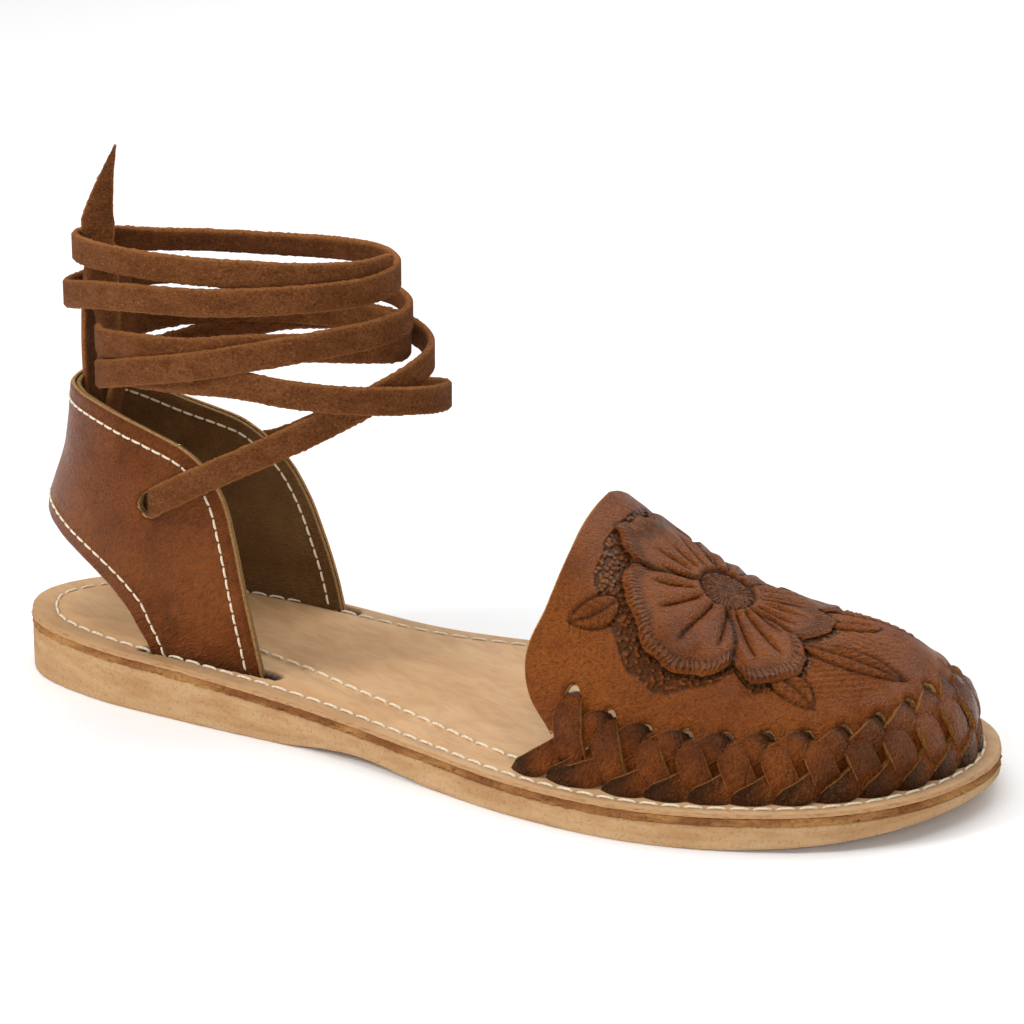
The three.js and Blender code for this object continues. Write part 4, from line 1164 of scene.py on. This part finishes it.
class SANDAL_OT_vamp(bpy.types.Operator):
    """Builds the vamp with its carved flower and its row of holes"""

    bl_idname = "sandal.vamp"
    bl_label = "Vamp"

    def execute(self, context):
        sizes, colours = context.scene.sandal_sizes, context.scene.sandal_colours
        hide = leather(
            "waxed_tooling_leather", colours.vamp, colours.vamp_light, colours.dye,
            colours.cut, 0.4, 0.75, 0.5, 0.6, True,
        )
        t = np.linspace(0, 1, VAMP_TURNS + 1)
        turns = 0.5 * (t * 0.5 + (1 - np.sqrt(1 - t)) / 2)
        rear, front = np.linspace(0, 0.38, 26, endpoint=False), np.linspace(0.38, 1, 95)
        dense = np.concatenate((rear, front))
        columns = 2 * VAMP_ROWS + 1
        share = np.concatenate((dense, dense[-2::-1]))
        medial = np.arange(columns) > VAMP_ROWS
        turn = np.where(medial[None, :], 1 - turns[:, None], turns[:, None])
        along = np.interp(turn, BAND_FINE, BAND_ALONG)
        scallop = 0.9 * np.cos(2 * math.pi * (along - HOLE_START) / HOLE_PITCH)
        low = band_top(turn, EDGE_HEIGHT + scallop)
        up = low + (1 - low) * share[None, :]
        grid = form_point(turn, up)
        steps = np.linalg.norm(np.diff(grid, axis=1), axis=2)
        run = np.concatenate((np.zeros((len(turns), 1)), np.cumsum(steps, axis=1)), axis=1)
        down = run - run[:, VAMP_ROWS : VAMP_ROWS + 1]
        points, chart = grid.reshape(-1, 3), np.stack((grid[..., 0], down), -1).reshape(-1, 2)
        weld = np.arange(len(points))
        last = VAMP_TURNS * columns
        for j in range(VAMP_ROWS + 1, columns):
            weld[last + j] = last + 2 * VAMP_ROWS - j
        quads = grid_quads(VAMP_TURNS + 1, columns, weld)
        quads = quads[[len(set(q)) == 4 for q in quads.tolist()]]
        normals, quads = sheet_normals(points, quads, np.array(VAMP_MIDDLE))
        holes = []
        for k in range(BRAID_HOLES):
            s, h = hole_place(k)
            place_, _, way, rise = (v[0] for v in band_frame(np.array([s]), np.array([h])))
            nearest = points[np.linalg.norm(points - place_, axis=1).argmin()]
            holes.append((nearest, way * 1.8, rise * 2.7))
        points, quads, near_hole = punched(points, quads, normals, holes)
        height, dark, matted, worked = tooling(*chart.T)
        relief = height * sizes.relief / MM * ramp(np.abs(chart[:, 1]), 60, 45)
        relief += 0.4 * bump(near_hole, 1.75, 0.5) - 0.3 * bump(near_hole, 1.0, 0.3)
        relief += 0.3 * rough(points, 24, 5.0, 2) + 0.1 * rough(points, 6, 8.0, 2)
        relief += 0.9 * np.exp(-np.abs(chart[:, 1]) / 4.5) * ramp(points[:, 0], 178, 162)
        above = points[:, 2] - sole_top(points[:, 0])
        relief += 0.7 * (bump(above, 17.5, 2.6) * ramp(points[:, 0], 205, 232))
        # Painted shade round and in each braid hole.
        dark = np.maximum(dark, 0.55 * ramp(near_hole, 1.5, 0.98) * (near_hole < 3))
        shell = Shell()
        thick = sizes.vamp_thickness / MM
        raised = points + normals * relief[:, None]
        marks = {"dark": dark, "matted": matted, "worked": worked}
        shell.wall(raised, quads, normals, 0.0, -thick, 0.3, chart, **marks)
        made = shell.piece("vamp_leather", hide, "tooled_leather", 60)
        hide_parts("vamp")
        return {"FINISHED"}


# ---- toe braid -------------------------------------------------------------------------
class SANDAL_OT_braid(bpy.types.Operator):
    """Weaves the straps that lace the vamp to the insole"""

    bl_idname = "sandal.braid"
    bl_label = "Toe braid"

    def strap(self, shell, rows, sizes, seed, taper=None):
        """A strap through rows of distance along the band, height and lift off it."""
        count = 44
        t = np.linspace(0, 1, count)
        s, h, lift = spline(rows, t).T
        p, out, _, _ = band_frame(s, np.maximum(h, 0.02))
        p[:, 2] += np.minimum(h, 0)
        line = p + out * lift[:, None]
        line = spline(even(line, 1.0), t)
        wide = sizes.braid_width / MM * (1 + 0.05 * math.sin(seed * 1.7))
        taper = np.ones(count) if taper is None else np.interp(t, *np.array(taper).T)
        thick = sizes.braid_thickness / MM
        rings, edge = strap_rings(line, out, wide, thick, taper, 0.2, corner=0.16)
        flat = rings.reshape(-1, 3)
        crinkle = rough(flat, 3.0, seed, 2) * 0.14
        rings = rings + out[:, None] * crinkle.reshape(rings.shape[:2])[..., None]
        # Painted shade: darker toward both ends, where the strap goes into a hole or under its
        # neighbours, and near the insole where it meets the sole; each strap is also darkened
        # toward its edges.
        hidden = np.maximum(ramp(t, 0.16, 0.0), ramp(t, 0.8, 1.0))
        low = ramp(h, 4.5, 0.5) * 0.75
        off = np.linalg.norm(rings - line[:, None], axis=2) / (wide / 2 * taper[:, None])
        shade = np.maximum(hidden * 0.85, low)[:, None]
        shade = shade + 0.5 * np.minimum(off, 1) ** 3 * (1 - edge)
        shell.loft(rings, edge=edge, dark=np.clip(shade, 0, 1))

    def execute(self, context):
        sizes, colours = context.scene.sandal_sizes, context.scene.sandal_colours
        # Waxed and burnished by hand while damp: shinier than the vamp, with fine crackle.
        hide = leather(
            "burnished_strap_leather", colours.strap, colours.strap_light, colours.dye,
            "#94602f", 0.24, 0.7, 1.1, 1.3,
        )
        over, under = Shell(), Shell()
        for k in range(BRAID_HOLES):
            s, h = hole_place(k)
            lean = (3.0, 4.8)[k] if k < 2 else 6.6
            top = min(h, 15.5)
            rows = (
                (s + 0.2, h + 0.2, -2.2),
                (s + 0.3, h - 0.9, 0.2),
                (s + 0.25 * lean, h - 0.24 * top, 2.5),
                (s + 0.5 * lean, h - 0.5 * top, 2.9),
                (s + 0.75 * lean, h - 0.75 * top, 2.1),
                (s + 1.0 * lean, max(h - 0.97 * top, 0.4), 0.9),
            )
            self.strap(over, rows, sizes, k + 0.5, ((0, 0.5), (0.16, 0.72), (0.4, 1), (1, 1)))
        for k in range(-1, BRAID_HOLES - 1):
            end = {-1: 1, 0: 2}.get(k, min(k + 2, BRAID_HOLES - 1))
            s, h = hole_place(end)
            start = hole_place(max(k - 1, 0))[0] + (1.5 if k > 1 else -3.2)
            start = {-1: -1.0, 0: 8.5}.get(k, start)
            span, rise = s - start, h
            rows = (
                (start - 0.8, -0.9, 1.6),
                (start + 0.12 * span, 0.9, 3.1),
                (start + 0.3 * span, 0.2 * rise + 0.2, 2.7),
                (start + 0.5 * span, 0.43 * rise, 0.5),
                (start + 0.66 * span, 0.64 * rise, 0.9),
                (start + 0.82 * span, 0.82 * rise, 1.5),
                (start + 0.94 * span, 0.97 * rise, 1.3),
                (s + 0.1, h + 0.3, -1.8),
            )
            taper = ((0, 0.15), (0.14, 0.85), (0.3, 1), (0.86, 0.95), (1, 0.4))
            self.strap(under, rows, sizes, k + 30.5, taper)
        first = over.piece("braid_front_straps", hide, "strap_leather", 38)
        under.piece("braid_back_straps", hide, "strap_leather", 38)
        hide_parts("toe_braid")
        return {"FINISHED"}


# ---- heel counter ----------------------------------------------------------------------
HEEL_MIDDLE = np.array((60.0, 0.0, 40.0))  # a point inside the counter
MEDIAL_FOOT = 0.16  # turns that the counter's medial foot reaches further back
COUNTER_STEPS = 150  # on each side of the back
COUNTER_ROWS = 54
STITCH_TO_EDGE = 4.2


def counter_grid(trim=0.0):
    """Points of the counter's middle surface, from the medial foot round to the lateral."""
    at = [column(COUNTER, k) for k in range(1, 7)]
    i = np.arange(-COUNTER_STEPS, COUNTER_STEPS + 1)
    step = np.abs(i) / COUNTER_STEPS * (len(COUNTER) - 1)
    side = np.where(i < 0, 1.0, -1.0)
    low_turn, low = at[0](step), at[1](step)
    low_turn = low_turn - MEDIAL_FOOT * ramp(step, 2.5, 6.5) * (side > 0)
    high_turn = np.where(side > 0, at[4](step), at[2](step))
    high = np.where(side > 0, at[5](step), at[3](step))
    t = np.linspace(0, 1, COUNTER_ROWS + 1)
    t = t - 0.012 * np.sin(2 * math.pi * t)
    t = trim + (1 - 2 * trim) * t
    turn = low_turn[:, None] + (high_turn - low_turn)[:, None] * t
    height = low[:, None] + (high - low)[:, None] * t
    return heel_point(turn, height, np.broadcast_to(side[:, None], turn.shape))


def counter_wave(points):
    return 0.3 * rough(points, 22, 11.0, 2) + 0.08 * rough(points, 5, 4.0, 2)


class SANDAL_OT_counter(bpy.types.Operator):
    """Builds the heel counter: its leather, its lining and its two rows of stitches"""

    bl_idname = "sandal.counter"
    bl_label = "Heel counter"

    def skin(self, trim, outer, inner, holes, name, material, slot):
        grid = counter_grid(trim)
        points = grid.reshape(-1, 3)
        quads = grid_quads(*grid.shape[:2])
        normals, quads = sheet_normals(points, quads, HEEL_MIDDLE)
        points, quads, near_hole = punched(points, quads, normals, holes)
        edge_run = np.broadcast_to(np.linspace(0, 1, grid.shape[1]), grid.shape[:2]).ravel()
        crest = -0.18 * (bump(edge_run, 0, 0.02) + bump(edge_run, 1, 0.02))
        relief = counter_wave(points) + crest - 0.25 * bump(near_hole, 1.0, 0.3)
        # Painted shade round the lace holes and on the low part of the wall near the insole;
        # narrow darker bands also run along both edges.
        dark = np.maximum(0.5 * ramp(near_hole, 1.4, 1.0), 0.3 * bump(edge_run, 0.03, 0.03))
        dark = np.maximum(dark, 0.3 * bump(edge_run, 0.97, 0.03))
        dark = np.maximum(dark, 0.5 * ramp(points[:, 2], 22, 13))
        shell = Shell()
        raised = points + normals * relief[:, None]
        shell.wall(raised, quads, normals, outer, inner, 0.28, dark=dark)
        return shell.piece(name, material, slot, 60)

    def execute(self, context):
        sizes, colours = context.scene.sandal_sizes, context.scene.sandal_colours
        hide = leather(
            "waxed_counter_leather", colours.counter, colours.counter_light, colours.dye,
            colours.cut, 0.36, 0.6, 0.6, 0.7,
        )
        # The lining is thin grain leather, worn smooth and grey-brown by the foot.
        lining = leather(
            "smooth_lining_leather", colours.lining, "#6d4e2c", "#38220f", "#a08052",
            0.55, 0.2, 0.3, 0.35,
        )
        thread = bpy.data.materials["waxed_linen_thread"]
        half = COUNTER_WALL / 2
        holes = []
        for side, turn, height in LACE_HOLES:
            centre = heel_point(turn, height, side)
            along = unit(heel_point(turn + 0.02, height, side) - centre)
            holes.append((centre, along * 3.5, np.array((0, 0, 3.3))))
        made = self.skin(0.0, half, 0.1, holes, "counter_leather", hide, "counter_leather")
        self.skin(0.006, 0.06, -half, holes, "counter_lining", lining, "counter_leather")
        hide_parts("heel_counter")
        grid = counter_grid()
        sewn = Shell()
        for first in (True, False):
            edge = grid[:, -1] if first else grid[:, 0]
            inner = grid[:, 0] if first else grid[:, -1]
            across = unit(inner - edge)
            way = unit(np.gradient(edge, axis=0))
            slant = np.linalg.norm(np.cross(way, across), axis=1)
            room = np.linalg.norm(inner - edge, axis=1)
            share = np.clip(STITCH_TO_EDGE / np.maximum(slant, 0.5) / room, 0, 0.45)
            place_ = share * COUNTER_ROWS if not first else (1 - share) * COUNTER_ROWS
            low = np.clip(place_.astype(int), 0, COUNTER_ROWS - 1)
            part = (place_ - low)[:, None]
            rows = np.arange(len(grid))
            line = grid[rows, low] * (1 - part) + grid[rows, low + 1] * part
            line = line[3:-3]
            out = unit(np.cross(np.gradient(line, axis=0), (inner - edge)[3:-3]))
            out *= np.sign((out * (line - HEEL_MIDDLE)).sum(1))[:, None]
            for face in (1, -1):
                surface = line + out * (half * face + counter_wave(line) - 0.12 * face)[:, None]
                pitch, gauge = sizes.counter_stitch / MM, sizes.thread / MM * 0.9
                stitches(sewn, surface, out * face, pitch, gauge)
        sewn.piece("counter_stitching", thread, "counter_leather")
        return {"FINISHED"}


# ---- lace ------------------------------------------------------------------------------
POINT_WIDTH, POINT_THICKNESS = 8.2, 1.9  # of the lace's free end


def level_facing(line):
    """Outward normals of an upright band along this line."""
    facing = unit(np.cross(unit(np.gradient(line, axis=0)), (0.0, 0.0, 1.0)))
    # The two top turns lean in over the ankle on its medial side.
    lean = ramp(line[:, 2], 96.5, 98.5) * ramp(line[:, 1], 4, 18)
    way = np.sign((facing * (line - np.array((ANKLE[0], ANKLE[1], 0)))).sum(1))
    return unit(facing + np.array((0.0, 0.0, 0.5)) * (lean * way)[:, None])


class SANDAL_OT_lace_end(bpy.types.Operator):
    """Builds the lace's free end, cut to a point"""

    bl_idname = "sandal.lace_end"
    bl_label = "Lace end"

    def execute(self, context):
        colours = context.scene.sandal_colours
        nap = suede("brushed_suede", colours.suede, "#865029", "#2b150a", "#b5753f")
        t = np.linspace(0, 1, 90)
        line = spline(LACE_END, t)
        tucked, opened = np.array((-0.5, -0.85, 0)), np.array((0.43, -0.9, 0))
        facing = tucked + (opened - tucked) * np.minimum(t / 0.45, 1)[:, None]
        taper = 1 - 0.93 * np.maximum((t - 0.7) / 0.3, 0)
        width = POINT_WIDTH
        rings, edge = strap_rings(line, unit(facing), width, POINT_THICKNESS, taper, 0.0, 0.3, 3.0)
        shell = Shell()
        shell.loft(rings, edge=edge)
        made = shell.piece("lace_point", nap, "suede", 60)
        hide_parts("lace_end")
        return {"FINISHED"}


class SANDAL_OT_lace(bpy.types.Operator):
    """Winds the two strands of the ankle lace and folds the heel loop"""

    bl_idname = "sandal.lace"
    bl_label = "Ankle lace"

    def execute(self, context):
        sizes = context.scene.sandal_sizes
        nap = bpy.data.materials["brushed_suede"]
        width, thick = sizes.lace_width / MM, sizes.lace_thickness / MM
        strands = (("lateral_strand", FIRST_STRAND, 1700), ("medial_strand", SECOND_STRAND, 1050))
        for name, rows, count in strands:
            line = spline(ring_points(rows), np.linspace(0, 1, count))
            taper = 1 - 0.22 * ramp(lengths(line), 15, 9)
            out = level_facing(line)
            rings, edge = strap_rings(line, out, width, thick, taper, 0.0, 0.28, len(name))
            shell = Shell()
            shell.loft(rings, edge=edge)
            made = shell.piece(name, nap, "suede", 60)
            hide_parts("ankle_lace")
        rows = np.array([(x, ANKLE[1] + 1.5, z) for x, z in HEEL_LOOP])
        line = spline(rows, np.linspace(0, 1, 240))
        way = unit(np.gradient(line, axis=0))
        facing = np.stack((way[:, 2], np.zeros(len(way)), -way[:, 0]), 1)
        rings, edge = strap_rings(line, facing, width, thick - 0.2, None, 0.0, 0.28, 5.0)
        shell = Shell()
        shell.loft(rings, edge=edge)
        made = shell.piece("heel_loop_strap", nap, "suede", 60)
        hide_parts("heel_loop")
        return {"FINISHED"}


# ---- stage -----------------------------------------------------------------------------
AZIMUTH, ELEVATION = 25.54, 18.95  # degrees
CAMERA_DISTANCE = 0.88064
TARGET = (-0.00027, 0.00414, 0.04)
LENS, LENS_SHIFT = 127.32, (0.0227, 0.0550)  # focal length in mm, and shift in sensor widths
FLOOR_HALF = 6.0
AIR_STRENGTH = 0.3
# Each lamp's place, what it points at, its size in metres and its power in watts.
LAMPS = (
    ("overhead_softbox", (-0.15, 0.1, 1.1), (0, 0, 0.02), (1.3, 1.0), 8),
    ("left_softbox", (-0.8, -0.7, 0.75), (0, 0, 0.03), (0.34, 0.34), 8.6),
    ("back_softbox", (0.3, 1.0, 0.7), (0, 0, 0.04), (1.0, 0.6), 4),
    ("front_fill", (0.6, -1.1, 0.4), (0, 0, 0.03), (0.9, 0.7), 7.4),
    ("backdrop_light", (-0.9, 2.1, 1.3), (-0.9, 2.3, 0), (3.0, 1.2), 24),
)


class SANDAL_OT_stage(bpy.types.Operator):
    """Sets up the camera, the pale floor and the soft studio light"""

    bl_idname = "sandal.stage"
    bl_label = "Studio stage"

    def lamp(self, name, spot, aim, size, power):
        data = bpy.data.lights.new(name, "AREA")
        data.shape = "RECTANGLE"
        data.size, data.size_y, data.energy = size[0], size[1], power
        data.color = linear("#ffffff")[:3]
        made = bpy.data.objects.new(name, data)
        bpy.context.collection.objects.link(made)
        made.location = spot
        made.rotation_euler = (Vector(aim) - Vector(spot)).to_track_quat("-Z", "Y").to_euler()

    def execute(self, context):
        scene = context.scene
        scene.view_settings.view_transform = "Standard"
        a, e = math.radians(AZIMUTH), math.radians(ELEVATION)
        back = Vector((math.sin(a) * math.cos(e), -math.cos(a) * math.cos(e), math.sin(e)))
        lens = bpy.data.cameras.new("camera")
        lens.lens, (lens.shift_x, lens.shift_y) = LENS, LENS_SHIFT
        camera = bpy.data.objects.new("camera", lens)
        context.collection.objects.link(camera)
        camera.location = Vector(TARGET) + back * CAMERA_DISTANCE
        camera.rotation_euler = (-back).to_track_quat("-Z", "Y").to_euler()
        scene.camera = camera
        sheet = bpy.data.meshes.new("studio_floor")
        turns = ((-1, -1), (1, -1), (1, 1), (-1, 1))
        corners = [(x * FLOOR_HALF, y * FLOOR_HALF, 0) for x, y in turns]
        sheet.from_pydata(corners, [], [(0, 1, 2, 3)])
        floor = bpy.data.objects.new("studio_floor", sheet)
        context.collection.objects.link(floor)
        sheet.materials.append(studio_floor("pale_studio_floor", scene.sandal_colours.floor))
        for lamp in LAMPS:
            self.lamp(*lamp)
        world = bpy.data.worlds.new("studio_air")
        world.use_nodes = True
        world.node_tree.nodes["Background"].inputs["Color"].default_value = linear("#ffffff")
        world.node_tree.nodes["Background"].inputs["Strength"].default_value = AIR_STRENGTH
        scene.world = world
        return {"FINISHED"}


class SANDAL_PT_panel(bpy.types.Panel):
    """Lists the sandal's sizes, colours and pieces"""

    bl_idname = "SANDAL_PT_panel"
    bl_label = "Huarache sandal"
    bl_space_type = "VIEW_3D"
    bl_region_type = "UI"
    bl_category = "Sandal"

    def draw(self, context):
        for settings in (context.scene.sandal_sizes, context.scene.sandal_colours):
            for name in settings.__annotations__:
                self.layout.prop(settings, name)
        for operator in STEPS:
            self.layout.operator(operator.bl_idname)


STEPS = (
    SANDAL_OT_stage,
    SANDAL_OT_lace_end,
    SANDAL_OT_lace,
    SANDAL_OT_sole,
    SANDAL_OT_insole,
    SANDAL_OT_vamp,
    SANDAL_OT_braid,
    SANDAL_OT_counter,
)
CLASSES = (SandalSizes, SandalColours) + STEPS + (SANDAL_PT_panel,)


def register():
    for one in CLASSES:
        bpy.utils.register_class(one)
    bpy.types.Scene.sandal_sizes = bpy.props.PointerProperty(type=SandalSizes)
    bpy.types.Scene.sandal_colours = bpy.props.PointerProperty(type=SandalColours)


def unregister():
    del bpy.types.Scene.sandal_sizes, bpy.types.Scene.sandal_colours
    for one in reversed(CLASSES):
        bpy.utils.unregister_class(one)


def main():
    register()
    for operator in STEPS:
        group, step = operator.bl_idname.split(".")
        getattr(getattr(bpy.ops, group), step)()


if __name__ == "__main__":
    main()
